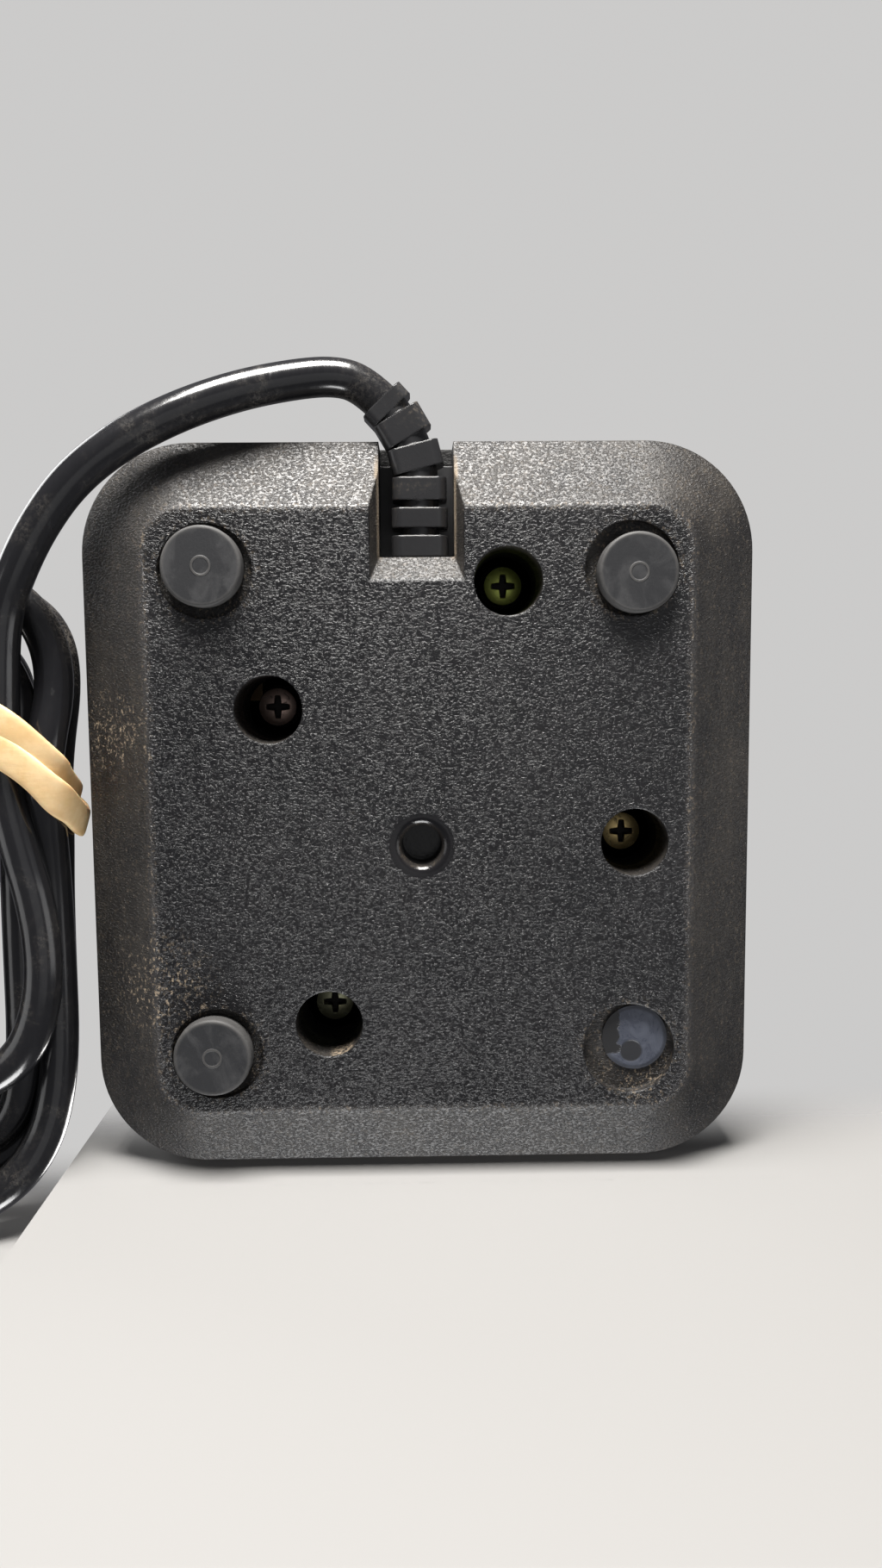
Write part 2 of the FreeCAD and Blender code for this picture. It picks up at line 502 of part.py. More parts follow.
def stick():
    """Everything that tilts with the stick."""
    ball_level = "(pivot_height + ball_rise)"
    cross = cylinder("cross_hole", "pin_radius + press_play", "4 * hub_radius", "0",
                     "(pivot_back - 2 * hub_radius)", "pivot_height", "Y")
    rod = on_stick("rod", "shaft_radius", "shaft_below + ball_rise + insert_length / 2", "-shaft_below")
    groove_outer = on_stick("groove_outer", "shaft_radius + 1", "clip_thickness", "(0.1 - drum_drop)")
    groove_inner = on_stick("groove_inner", "shaft_radius - groove_depth", "clip_thickness",
                            "(0.1 - drum_drop)")
    groove = cut("shaft_groove", groove_outer, groove_inner)
    node(cut("shaft", rod, cross, groove), "stick_shaft")

    bore = "shaft_radius + press_play"
    hub = on_stick("hub_body", "hub_radius", "hub_height", "(-hub_height / 2)")
    hub_bore = on_stick("hub_bore", bore, "hub_height + 2", "(-hub_height / 2 - 1)")
    hub_cross = cylinder("hub_cross", "pin_radius + press_play", "4 * hub_radius", "0",
                         "(pivot_back - 2 * hub_radius)", "pivot_height", "Y")
    node(cut("hub", hub, hub_bore, hub_cross), "stick_hub")

    drum = on_stick("drum_body", "drum_radius", "drum_height", "(-drum_drop)")
    neck = on_stick("drum_neck", "neck_radius", "drum_drop - drum_height - hub_height / 2 + drum_height",
                    "(-drum_drop)")
    drum_bore = on_stick("drum_bore", bore, "drum_drop", "(-drum_drop - 1)")
    clip_space = on_stick("clip_space", "clip_radius + 0.2", "clip_thickness + 0.3 + 1", "(-drum_drop - 1)")
    node(cut("drum", fuse("drum_blank", drum, neck), drum_bore, clip_space), "actuator_drum")

    clip = on_stick("clip_disc", "clip_radius", "clip_thickness - 0.1", "(0.15 - drum_drop)")
    clip_hole = on_stick("clip_hole", "shaft_radius - groove_depth + press_play", "clip_thickness + 1",
                         "(-drum_drop - 0.3)")
    clip_mouth = box("clip_mouth", "2 * shaft_radius - 1.2", "clip_radius + 1", "clip_thickness + 1",
                     "0", "(pivot_back - clip_radius / 2 - 0.5)", "(pivot_height - drum_drop - 0.3)")
    node(cut("clip", clip, clip_hole, clip_mouth), "retaining_clip")

    skin = cut("dome_skin", sphere("dome_outer", "dome_radius", "0", "pivot_back", "pivot_height"),
               sphere("dome_inner", "dome_radius - dome_wall", "0", "pivot_back", "pivot_height"))
    cap = box("dome_keep", "2 * dome_radius + 2", "2 * dome_radius + 2", "dome_radius", "0", "pivot_back",
              "(pivot_height + dome_reach)")
    dome_boss = on_stick("dome_boss", "dome_boss_radius", "dome_wall + dome_boss_rise + 3",
                         "(dome_radius - dome_wall - 3)")
    dome_bore = on_stick("dome_bore", bore, "dome_radius + 4", "dome_reach")
    node(cut("dome", fuse("dome_blank", common("dome_cap", skin, cap), dome_boss), dome_bore), "dust_dome")

    sleeve_foot = "(dome_radius + dome_boss_rise)"
    sleeve_top = "(ball_rise - ball_radius + 3)"
    tube = on_stick("sleeve_tube", "sleeve_radius", "%s - %s" % (sleeve_top, sleeve_foot), sleeve_foot)
    tube_bore = on_stick("sleeve_bore", bore, "ball_rise", "0")
    node(cut("sleeve", tube, tube_bore), "shaft_sleeve")

    ball = sphere("ball_body", "ball_radius", "0", "pivot_back", ball_level)
    ball_bore = on_stick("ball_bore", "sleeve_radius + press_play", "ball_radius + insert_length / 2 + 1",
                         "(ball_rise - ball_radius - 1)")
    node(cut("ball", ball, ball_bore), "stick_ball")
    insert = on_stick("insert_body", "sleeve_radius", "insert_length", "(ball_rise - insert_length / 2)")
    insert_bore = on_stick("insert_bore", bore, "insert_length + 2", "(ball_rise - insert_length / 2 - 1)")
    node(cut("insert", insert, insert_bore), "ball_insert")


def collar():
    """The trim ring round the stick's opening."""
    opening = "(sqrt((dome_radius + dome_play) ^ 2 - (%s - pivot_height) ^ 2) + collar_play)" % PANEL
    ring = cone("collar_ring", opening + " + collar_width", opening + " + collar_width - collar_rise",
                "collar_rise", "0", "pivot_back", PANEL)
    hole = cylinder("collar_hole", opening, "collar_rise + 2", "0", "pivot_back", PANEL + " - 1")
    return node(cut("collar", ring, hole), "stick_collar")


def coil_spring(name, radius, wire, turns, foot, top, x, y, label):
    """A coil of round wire between two levels, its ends inside them."""
    rise = plain("%s - %s - 2 * %s" % (top, foot, wire))
    coil = Part.makeLongHelix(rise / plain(turns), rise, plain(radius))
    section = Part.Wire(Part.makeCircle(plain(wire), FreeCAD.Vector(plain(radius), 0, 0), ALONG_Y))
    thing = doc.addObject("Part::Feature", name)
    thing.Shape = Part.Wire(coil.Edges).makePipeShell([section], True, True)
    place(thing, x, y, "%s + %s" % (foot, wire))
    return node(thing, label)


def springs():
    """The stick's centring spring and the buttons' return springs."""
    coil_spring("centring_coil", "spring_radius", "spring_wire", "spring_turns", FLOOR, DRUM_FOOT,
                "0", "pivot_back", "centring_spring")
    for side, hand in ((1, "right"), (-1, "left")):
        coil_spring("button_coil_" + hand, "button_spring_radius", "button_spring_wire",
                    "button_spring_turns", HOLDER_TOP, "(%s - flange_height)" % FLANGE_TOP,
                    "%d * %s" % (side, BUTTON_X), BUTTON_Y, "button_spring_" + hand)


def contacts():
    """The contact board and the four pairs of leaf contacts that stand round the drum."""
    plate = box("board_blank", "2 * board_half_width", "2 * board_half_length", "board_thickness", "0",
                "pivot_back", YOKE_TOP)
    cuts = [box("board_gate", "2 * gate_half", "2 * gate_half", "board_thickness + 2", "0", "pivot_back",
                YOKE_TOP + " - 1")]
    middle = "(upright_gap + upright_thickness / 2)"
    for side in (1, -1):
        cuts.append(box("upright_way_%d" % (side + 1), "upright_thickness + 0.4",
                        "2 * upright_half_length + 0.4", "board_thickness + 2",
                        "%d * %s" % (side, middle), "pivot_back", YOKE_TOP + " - 1"))
    for index, (x, y) in enumerate(both_ways(TIE_X, TIE_Y)):
        cuts.append(cylinder("board_screw_way_%d" % index, "small_screw_radius + screw_play",
                             "board_thickness + 2", x, y, YOKE_TOP + " - 1"))
    cuts += well_gaps("board", ("right", "left", "front"), "board_thickness", YOKE_TOP)
    node(cut("board", plate, *cuts), "contact_board")
    inner = "(gate_half + leaf_play + leaf_thickness / 2)"
    for name, reach in (("inner", inner), ("outer", inner + " + leaf_spacing")):
        leaves = []
        for side in (1, -1):
            leaves.append(box("leaf_%s_x%d" % (name, side + 1), "leaf_thickness", "leaf_width", "leaf_rise",
                              "%d * (%s)" % (side, reach), "pivot_back", BOARD_TOP))
            leaves.append(box("leaf_%s_y%d" % (name, side + 1), "leaf_width", "leaf_thickness", "leaf_rise",
                              "0", "(pivot_back + %d * (%s))" % (side, reach), BOARD_TOP))
        node(group("leaf_set_" + name, *leaves), "leaf_contacts_" + name)


def fire_buttons():
    """Each fire button with its holder, contact board and snap contact."""
    snaps = []
    for side, hand in ((1, "right"), (-1, "left")):
        x = "%d * %s" % (side, BUTTON_X)
        cap = cylinder("cap_" + hand, "button_radius",
                       "button_rise + shell_wall + flange_gap + flange_height", x, BUTTON_Y,
                       "(%s - flange_height)" % FLANGE_TOP)
        rounded = doc.addObject("Part::Fillet", "cap_round_" + hand)
        rounded.Base = cap
        doc.recompute()
        rim = next(i for i, e in enumerate(cap.Shape.Edges, 1)
                   if e.Closed and e.BoundBox.ZMin > cap.Shape.BoundBox.ZMax - 0.1)
        rounded.Edges = [(rim, plain("button_edge"), plain("button_edge"))]
        flange = cylinder("flange_" + hand, "flange_radius", "flange_height", x, BUTTON_Y,
                          "(%s - flange_height)" % FLANGE_TOP)
        stem = cylinder("stem_" + hand, "stem_radius", "stem_length", x, BUTTON_Y,
                        "(%s - flange_height - stem_length)" % FLANGE_TOP)
        node(fuse("button_" + hand, rounded, flange, stem), "fire_button_" + hand)
        for name, thickness, foot, hole in (
                ("holder", "holder_thickness", HOLDER_FOOT, "stem_radius + button_play"),
                ("board", "board_thickness", "(%s - board_thickness)" % HOLDER_FOOT, "0")):
            plate = box("%s_plate_%s" % (name, hand), "2 * holder_half_width", "2 * holder_half_length",
                        thickness, x, BUTTON_Y, foot)
            cuts = [cylinder("%s_way_%s_%d" % (name, hand, end + 1), "small_screw_radius + screw_play",
                             thickness + " + 2", x, "(%s + %d * holder_screw_reach)" % (BUTTON_Y, end),
                             foot + " - 1") for end in (1, -1)]
            if name == "holder":
                cuts.append(cylinder("stem_way_" + hand, hole, thickness + " + 2", x, BUTTON_Y,
                                     foot + " - 1"))
            node(cut("%s_%s" % (name, hand), plate, *cuts), "button_%s_%s" % (name, hand))
        snaps.append(cylinder("snap_" + hand, "snap_radius", "snap_rise", x, BUTTON_Y, HOLDER_FOOT))
    node(group("snap_set", *snaps), "button_snap_contacts")


def tube_along(points, radius):
    """A round tube along straight runs joined by tangent arcs; each arc is as large as its runs allow."""
    corners = [FreeCAD.Vector(*point) for point in points]
    edges, start = [], corners[0]
    for before, here, after in zip(corners, corners[1:], corners[2:]):
        into, out = (here - before), (after - here)
        turn = into.getAngle(out)
        reach = 0.45 * min(into.Length, out.Length)
        swing = reach / math.tan(turn / 2)
        first = here - FreeCAD.Vector(into).normalize() * reach
        last = here + FreeCAD.Vector(out).normalize() * reach
        inward = (first + last) * 0.5 - here
        centre = here + inward.normalize() * (swing / math.cos(turn / 2))
        middle = centre + (here - centre).normalize() * swing
        edges.append(Part.LineSegment(start, first).toShape())
        edges.append(Part.Arc(first, middle, last).toShape())
        start = last
    edges.append(Part.LineSegment(start, corners[-1]).toShape())
    section = Part.Wire(Part.makeCircle(radius, corners[0], corners[1] - corners[0]))
    return Part.Wire(edges).makePipeShell([section], True, False)


def relief_point(along):
    """A point on the strain relief's axis and its heading, from the slot's end: straight, then an arc."""
    bend, straight = plain("relief_bend_radius"), plain("slot_length - relief_bend_back")
    start = FreeCAD.Vector(plain("relief_offset"), plain(SLOT_END), plain(RELIEF))
    if along <= straight:
        return start + ALONG_Y * along, 0.0
    angle = (along - straight) / bend
    return start + FreeCAD.Vector(bend * (1 - math.cos(angle)), straight + bend * math.sin(angle), 0), angle


def relief():
    """The ribbed strain relief: a neck and inner flange, a core along the bend, and blocks on it."""
    straight = plain("slot_length - relief_bend_back")
    total = straight + plain("relief_bend_radius") * math.radians(plain("relief_bend_angle"))
    radius, flange = plain("relief_neck"), plain("relief_flange")
    inner_end = relief_point(0)[0] - ALONG_Y * (plain("slot_end_wall") + flange + plain("flange_gap"))
    bend = [relief_point(along)[0] for along in (straight, (straight + total) / 2, total)]
    path = Part.Wire([Part.LineSegment(inner_end, bend[0]).toShape(), Part.Arc(*bend).toShape()])
    section = Part.Wire(Part.makeCircle(radius, inner_end, ALONG_Y))
    parts = [path.makePipeShell([section], True, False)]
    parts.append(Part.makeCylinder(radius + flange, flange, inner_end, ALONG_Y))
    for first, last, share in RELIEF_BLOCKS + [(RELIEF_COLLAR[0], total, RELIEF_COLLAR[1])]:
        spot, angle = relief_point((first + last) / 2)
        wide, tall = plain("relief_half_width") * share, plain("relief_half_height") * share
        block = Part.makeBox(2 * wide, last - first, 2 * tall,
                             FreeCAD.Vector(-wide, -(last - first) / 2, -tall))
        block = block.makeFillet(min(wide, tall) * 0.45,
                                 [e for e in block.Edges if abs(e.tangentAt(0).y) > 0.9])
        heading = FreeCAD.Rotation(FreeCAD.Vector(0, 0, 1), -math.degrees(angle))
        block.Placement = FreeCAD.Placement(spot, heading)
        parts.append(block)
    thing = doc.addObject("Part::Feature", "relief")
    thing.Shape = parts[0].multiFuse(parts[1:]).removeSplitter()
    return node(thing, "strain_relief")


def clamp():
    """The plate that closes the slot's top over the strain relief."""
    cover = box("clamp_cover", "2 * slot_half_width + slot_wall",
                "slot_length + slot_end_wall - shell_wall - 0.3", "clamp_thickness", "slot_offset",
                "(%s - slot_length / 2 - slot_end_wall / 2 - shell_wall / 2 - 0.15)" % BACK, CLAMP)
    ears = box("clamp_ears", "2 * (clamp_reach + clamp_boss_radius)", "2 * clamp_boss_radius",
               "clamp_thickness", "slot_offset", "(%s - clamp_back)" % BACK, CLAMP)
    ways = [cylinder("clamp_way_%d" % (side + 1), "small_screw_radius + screw_play", "clamp_thickness + 2",
                     "(slot_offset + %d * clamp_reach)" % side, "(%s - clamp_back)" % BACK, CLAMP + " - 1")
            for side in (1, -1)]
    ways += well_gaps("clamp", ("lead",), "clamp_thickness", CLAMP)
    return node(cut("clamp", fuse("clamp_blank", cover, ears), *ways), "cable_clamp")


def core_wires():
    """The lead's cores from the strain relief's inner end to the contact board."""
    level, front = plain(RELIEF), plain(SLOT_END + " - slot_end_wall - relief_flange - flange_gap")
    board_back, board_top = plain("pivot_back + board_half_length"), plain(BOARD_TOP)
    radius = plain("core_radius")
    wires = []
    for index in range(5):
        inner = plain("core_spacing") * (index - 2)
        outer = 7 + plain("core_spread") * index
        route = [(inner, front, level), (inner, front - 4, level),
                 ((inner + outer) / 2, board_back + 8, level + 1.5), (outer, board_back + 2, board_top + 2.2),
                 (outer, board_back - 2.2, board_top + radius + 0.05)]
        wires.append(tube_along(route, radius))
    thing = doc.addObject("Part::Feature", "cores")
    thing.Shape = Part.makeCompound(wires)
    return node(thing, "core_wires")


def hank():
    """The folded lead's outer shape: a long oval, narrowed and grooved where the rubber band ties it."""
    radius = "hank_width / 2"
    ends = [cylinder("hank_end_%d" % index, radius, "hank_thickness", HANK_X, y, "0")
            for index, y in enumerate(("(hank_front + hank_width / 2)", "(hank_back - hank_width / 2)"))]
    middle = box("hank_middle", "hank_width", "hank_back - hank_front - hank_width", "hank_thickness", HANK_X,
                 "((hank_front + hank_back) / 2)", "0")
    scoop = cylinder("hank_scoop", "waist_scoop", "hank_thickness + 2",
                     "(hank_side + waist_width + waist_scoop)", "band_level", "-1")
    waist = "(hank_side + waist_width / 2)"
    ring = cut("band_ring",
               box("band_outside", "waist_width + 2", "band_width", "hank_thickness", waist,
                   "band_level", "0"),
               box("band_inside", "waist_width - 2 * band_thickness", "band_width + 2",
                   "hank_thickness - 2 * band_thickness", waist, "band_level", "band_thickness"))
    node(cut("hank", fuse("hank_oval", *ends, middle), scoop, ring), "lead_hank")
    outside = box("band_skin", "waist_width", "band_width - 0.2", "hank_thickness", waist, "band_level", "0")
    inside = box("band_hole", "waist_width - 2 * band_thickness + 0.02", "band_width + 2",
                 "hank_thickness - 2 * band_thickness + 0.02", waist, "band_level", "band_thickness - 0.01")
    node(cut("band", outside, inside), "rubber_band")


def lead():
    """The free lead to the hank, and its tail from the hank to the plug."""
    for name, route in (("lead", LEAD_ROUTE), ("lead_tail", TAIL_ROUTE)):
        thing = doc.addObject("Part::Feature", name + "_tube")
        thing.Shape = tube_along(route, plain("lead_diameter / 2"))
        node(thing, name)


def d_outline(width, height, radius=2.0):
    """The rounded, slightly tapered outline of a D connector in the XZ plane, round the origin."""
    lean = height / 2 * math.tan(math.radians(10))
    points = [(-width / 2 + lean, -height / 2), (width / 2 - lean, -height / 2),
              (width / 2 + lean, height / 2), (-width / 2 - lean, height / 2)]
    corners = [FreeCAD.Vector(x, 0, z) for x, z in points]
    prism = Part.Face(Part.makePolygon(corners + [corners[0]])).extrude(ALONG_Y)
    prism = prism.makeFillet(radius, [e for e in prism.Edges if abs(e.tangentAt(0).y) > 0.9])
    return min(prism.Faces, key=lambda f: f.CenterOfMass.y)


def d_prism(width, height, foot, length):
    """A D outline's prism on the plug's axis; foot is its distance from the plug's back end."""
    spot = FreeCAD.Vector(plain("plug_side"), plain("plug_back") + foot, plain("hood_height / 2"))
    shape = d_outline(width, height).extrude(ALONG_Y * length)
    shape.translate(spot)
    return shape


def contact_places():
    """The nine contacts: a row of five over a row of four."""
    pitch, half_row = plain("contact_pitch"), plain("contact_rows / 2")
    return [((column - (count - 1) / 2) * pitch, side * half_row) for count, side in ((5, 1), (4, -1))
            for column in range(count)]


def plug():
    """The nine-way plug: tapered relief, moulded hood, steel skirt, insert and socket contacts."""
    axis = "(hood_height / 2)"
    hood_foot = "(plug_back + plug_relief_length)"
    taper = cone("plug_taper", "lead_diameter / 2 + 0.6", "lead_diameter / 2 + 2", "plug_relief_length",
                 "plug_side", "plug_back", axis, "Y")
    node(taper, "plug_relief")
    hood = doc.addObject("Part::Wedge", "hood_shoulders")
    bind(hood, Xmin="hood_width / 2 - 7", Xmax="hood_width / 2 + 7", X2min="0", X2max="hood_width", Ymin="0",
         Ymax="hood_shoulder", Zmin="1", Zmax="hood_height - 1", Z2min="0", Z2max="hood_height")
    place(hood, "plug_side - hood_width / 2", hood_foot, "0")
    block = box("hood_block", "hood_width", "hood_length - hood_shoulder", "hood_height", "plug_side",
                "(plug_back + plug_relief_length + hood_shoulder + (hood_length - hood_shoulder) / 2)", "0")
    solid = fuse("hood_solid", hood, block)
    doc.recompute()
    rounded = doc.addObject("Part::Fillet", "hood_round")
    rounded.Base = solid
    front = plain(hood_foot + " + hood_length")
    back = plain(hood_foot + " + hood_shoulder")
    picks = [(index, 1.5, 1.5) for index, edge in enumerate(solid.Shape.Edges, 1)
             if abs(edge.tangentAt(edge.FirstParameter).y) > 0.99 and edge.BoundBox.YMax > front - 0.1
             and edge.BoundBox.YMin > back - 0.1]
    rounded.Edges = picks
    node(rounded, "plug_hood")
    hood_front = plain("plug_relief_length + hood_length")
    width, height, wall = plain("skirt_width"), plain("skirt_height"), plain("skirt_wall")
    flange, length = plain("skirt_flange"), plain("skirt_length")
    skirt = d_prism(width, height, hood_front + flange, length)
    plate = Part.makeBox(width + 8, flange, height + 2.4)
    plate.translate(FreeCAD.Vector(plain("plug_side") - width / 2 - 4, plain("plug_back") + hood_front,
                                   plain("hood_height / 2") - height / 2 - 1.2))
    hollow = d_prism(width - 2 * wall, height - 2 * wall, hood_front - 0.5, length + flange + 1)
    steel = doc.addObject("Part::Feature", "skirt")
    steel.Shape = skirt.fuse(plate).removeSplitter().cut(hollow)
    node(steel, "plug_skirt")
    inset = 2 * (wall + plain("insert_play"))
    body = d_prism(width - inset, height - inset, hood_front, length + flange - 0.4)
    holes, tubes = [], []
    for x, z in contact_places():
        spot = FreeCAD.Vector(plain("plug_side") + x, plain("plug_back") + hood_front,
                              plain("hood_height / 2") + z)
        radius, depth = plain("contact_radius"), length + flange
        holes.append(Part.makeCylinder(radius, depth + 1, spot + ALONG_Y * 0.4, ALONG_Y))
        outer = Part.makeCylinder(radius - plain("press_play"), depth - 1.6, spot + ALONG_Y * 0.42, ALONG_Y)
        bore = Part.makeCylinder(radius - plain("contact_wall"), depth, spot + ALONG_Y * 2.4, ALONG_Y)
        tubes.append(outer.cut(bore))
    insert = doc.addObject("Part::Feature", "insert_block")
    insert.Shape = body.cut(Part.makeCompound(holes))
    node(insert, "plug_insert")
    sockets = doc.addObject("Part::Feature", "sockets")
    sockets.Shape = Part.makeCompound(tubes)
    node(sockets, "plug_contacts")


def check_and_write():
    """Stops at any failed object or bad shape, then writes each node's solids."""
    doc.recompute()
    for thing in doc.Objects:
        if set(thing.State) & {"Invalid", "Error"}:
            raise RuntimeError("%s (%s) failed: %s" % (thing.Name, thing.Label, thing.State))
    os.makedirs("parts", exist_ok=True)
    for thing in nodes:
        shape = thing.Shape
        if shape.isNull() or not shape.isValid() or not shape.Solids:
            raise RuntimeError("%s has no valid solid" % thing.Label)
        shape.exportStep("parts/%s.step" % thing.Label)


lower_shell()
upper_shell()
screws()
feet()
yoke()
gimbal()
stick()
collar()
springs()
contacts()
fire_buttons()
relief()
clamp()
core_wires()
hank()
lead()
plug()
check_and_write()
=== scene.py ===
import math

import bpy
import numpy as np
from mathutils import Matrix, Vector


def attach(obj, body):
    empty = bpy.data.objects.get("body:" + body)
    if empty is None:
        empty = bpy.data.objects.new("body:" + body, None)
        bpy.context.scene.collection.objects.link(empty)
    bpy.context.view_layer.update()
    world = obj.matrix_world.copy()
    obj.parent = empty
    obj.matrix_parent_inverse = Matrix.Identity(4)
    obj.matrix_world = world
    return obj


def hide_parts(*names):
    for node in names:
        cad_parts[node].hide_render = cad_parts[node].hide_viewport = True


# The looks of a corded ball-top joystick, in metres: +Z up, +Y to the back, where the lead comes out.

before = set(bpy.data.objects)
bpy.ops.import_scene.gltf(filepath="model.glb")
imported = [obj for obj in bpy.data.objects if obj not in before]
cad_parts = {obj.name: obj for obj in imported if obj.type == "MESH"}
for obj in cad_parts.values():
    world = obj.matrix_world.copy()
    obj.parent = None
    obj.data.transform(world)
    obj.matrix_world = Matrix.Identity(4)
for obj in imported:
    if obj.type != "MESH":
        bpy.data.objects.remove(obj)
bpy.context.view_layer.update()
MM = 0.001

# The box: half its width and length, its corner radius, the width of its underside's bevel, and the heights
# of its underside, of the bevel's top and of the parting line
HALF_WIDTH, HALF_LENGTH, CORNER, BEVEL = 52 * MM, 57 * MM, 17 * MM, 10.7 * MM
FACE, BEVEL_TOP, PARTING = 2.2 * MM, 9.2 * MM, 16.2 * MM
SLOT_X, SLOT_HALF, SLOT_END = 0.3 * MM, 5.75 * MM, 39.2 * MM
CENTRE_HOLE_Y = -4.7 * MM

# In the underside: feet, recesses and screw wells by their centres, in millimetres
FEET = {"foot_rear_right": (32.2, 37.6), "foot_rear_left": (-32.7, 36.3), "foot_front_right": (32.5, -37.0)}
RECESSES = [(x, y) for x in (32, -32) for y in (37, -37)]
LOST_FOOT = (-33.1, -35.6)
WELLS = {"lead": (-13.4, 35.3), "right": (23.0, 16.3), "left": (-32.7, -4.5), "front": (14.6, -32.5)}

# The lead: its route to the hank and from the hank to the plug, in millimetres
LEAD_DIAMETER = 6 * MM
LEAD_ROUTE = [
    (5.53, 63.16, 10.3), (8.45, 65.89, 10.3), (12.6, 67.0, 9.9), (18.5, 66.3, 8.7), (27.0, 64.2, 6.6),
    (36.0, 60.7, 4.6), (44.4, 56.2, 3.4), (51.3, 50.9, 3.05), (56.4, 44.4, 3.05), (60.3, 37.4, 3.4),
    (63.2, 30.6, 4.4), (64.0, 19.0, 4.6),
]
TAIL_ROUTE = [
    (70.6, 15.0, 4.2), (76.0, 24.0, 3.6), (81.6, 31.0, 4.2), (83.8, 35.0, 5.0), (84.5, 38.6, 5.6),
    (85.5, 44.4, 6.4), (85.6, 49.5, 7.0), (85.6, 53.5, 7.0),
]

# The hank's turns. Each has where it goes under the band on its way to the front (x, z), its front fold,
# where it goes under the band on its way back, and its rear fold. A fold is the x of its inner and outer
# side, the y of its tip, and its height at the inner side, the tip and the outer side.
BAND_Y = 7.5
FRONT_SIDE_Y = -16
TURNS = [
    ((64.2, 4.6), (58.6, 88.0, -43.0, 3.1, 3.1, 3.1), (75.4, 4.6), (56.4, 86.5, 37.5, 10.2, 10.8, 3.1)),
    ((58.3, 4.6), (58.4, 94.8, -63.8, 9.3, 3.1, 3.1), (81.4, 4.6), (62.8, 88.5, 29.0, 10.8, 9.8, 9.2)),
    ((63.9, 10.7), (63.8, 89.0, -55.5, 9.3, 9.2, 9.2), (75.4, 10.7), (57.2, 80.0, 34.5, 15.8, 16.6, 13.4)),
    ((58.3, 10.7), (59.9, 92.6, -60.0, 14.4, 9.4, 14.2), (81.4, 10.7), (64.8, 88.0, 28.0, 17.4, 20.2, 17.0)),
    ((69.4, 10.7), (64.4, 86.6, -48.5, 15.2, 15.3, 15.3), (69.4, 4.6), None),
]


# ---------------------------------------------------------------------------------------------- meshes

def link(name, data):
    """A new object in the scene that shows the given mesh, curve, camera or lamp."""
    thing = bpy.data.objects.new(name, data)
    bpy.context.scene.collection.objects.link(thing)
    return thing


def closed_surface(name, points):
    """A mesh on a grid of points that closes on itself in both directions.

    Each face joins a point to the next one round, to that one's neighbour in the next row, and to its own
    neighbour there, with the last row joined to the first.
    """
    rows, columns = points.shape[:2]
    here = np.arange(rows * columns).reshape(rows, columns)
    there = np.roll(here, -1, axis=0)
    faces = np.stack([here, there, np.roll(there, -1, axis=1), np.roll(here, -1, axis=1)], axis=-1)
    mesh = bpy.data.meshes.new(name)
    mesh.from_pydata(points.reshape(-1, 3).tolist(), [], faces.reshape(-1, 4).tolist())
    mesh.polygons.foreach_set("use_smooth", [True] * len(mesh.polygons))
    mesh.update()
    return link(name, mesh)


# ---------------------------------------------------------------------------------------------- camera

CAMERA_PLACE = (0.00003, 0.02261, -0.17616)
CAMERA_AXES = (-0.99980, -0.00820, -0.01796), (-0.00994, 0.99501, 0.09929), (0.01706, 0.09945, -0.99490)


def camera():
    """The main camera, under the box and in front of its feet, looking up at the underside."""
    lens = bpy.data.cameras.new("camera")
    lens.lens, lens.sensor_width = 27.04, 36
    lens.clip_start, lens.clip_end = 0.005, 20
    thing = link("camera", lens)
    turn = Matrix(CAMERA_AXES).transposed().to_quaternion().to_matrix().to_4x4()
    thing.matrix_world = Matrix.Translation(CAMERA_PLACE) @ turn
    bpy.context.scene.camera = thing


# ------------------------------------------------------------------------------------------------ lead

def fold(inner, outer, tip, low, top, high):
    """A fold's control points, from its inner side to its outer side.

    Half a circle in plan between the two sides: x runs as the cosine of the angle and y as its sine, with
    its tip at the given y. It is flattened where the band is near. Its height goes from side to tip to
    side as the sine of the angle.
    """
    centre, radius, way = (inner + outer) / 2, (outer - inner) / 2, math.copysign(1, tip - BAND_Y)
    depth = min(radius, abs(tip - BAND_Y) - 10)
    points = []
    for angle in range(0, 181, 45):
        lean = math.sin(math.radians(angle))
        side = low if angle < 90 else high
        points.append((centre - radius * math.cos(math.radians(angle)), tip + way * depth * (lean - 1),
                       side + (top - side) * lean))
    return points


def at_band(place, side_x, side_z, way):
    """Where a strand passes under the band, and a point beside the band on its way to a fold's side."""
    x, z = place
    reach = 9 if way < 0 else 5
    return [(x, BAND_Y, z), (x + 0.3 * (side_x - x), BAND_Y + way * reach, z + 0.5 * (side_z - z))]


def hank_points():
    """All the turns' control points: down to the front fold, back under the band, round the rear fold."""
    points = []
    for inward, front, outward, rear in TURNS:
        points += at_band(inward, front[0], front[3], -1) + [(front[0], FRONT_SIDE_Y, front[3])]
        points += fold(*front)
        points += [(front[1], FRONT_SIDE_Y, front[5])] + at_band(outward, front[1], front[5], -1)[::-1]
        if rear:
            points += at_band(outward, rear[1], rear[5], 1)[1:] + fold(*rear)[::-1]
    return points


def lead():
    """The lead as one curve: the route, the hank's turns and the tail into the plug."""
    points = np.array(LEAD_ROUTE + hank_points() + TAIL_ROUTE) * MM
    line = bpy.data.curves.new("lead_cord", "CURVE")
    line.dimensions = "3D"
    # Each point carries the lead's own radius, so that the curve's bounds are true
    line.bevel_depth, line.bevel_resolution, line.resolution_u = 1, 6, 10
    line.use_fill_caps = True
    spline = line.splines.new("NURBS")
    spline.points.add(len(points) - 1)
    spline.points.foreach_set("co", np.column_stack([points, np.ones(len(points))]).ravel())
    spline.points.foreach_set("radius", [LEAD_DIAMETER / 2] * len(points))
    spline.order_u = 3
    spline.use_endpoint_u = True
    piece = link("lead_cord", line)
    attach(piece, "housing")
    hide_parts("lead", "lead_hank", "lead_tail")
    return piece


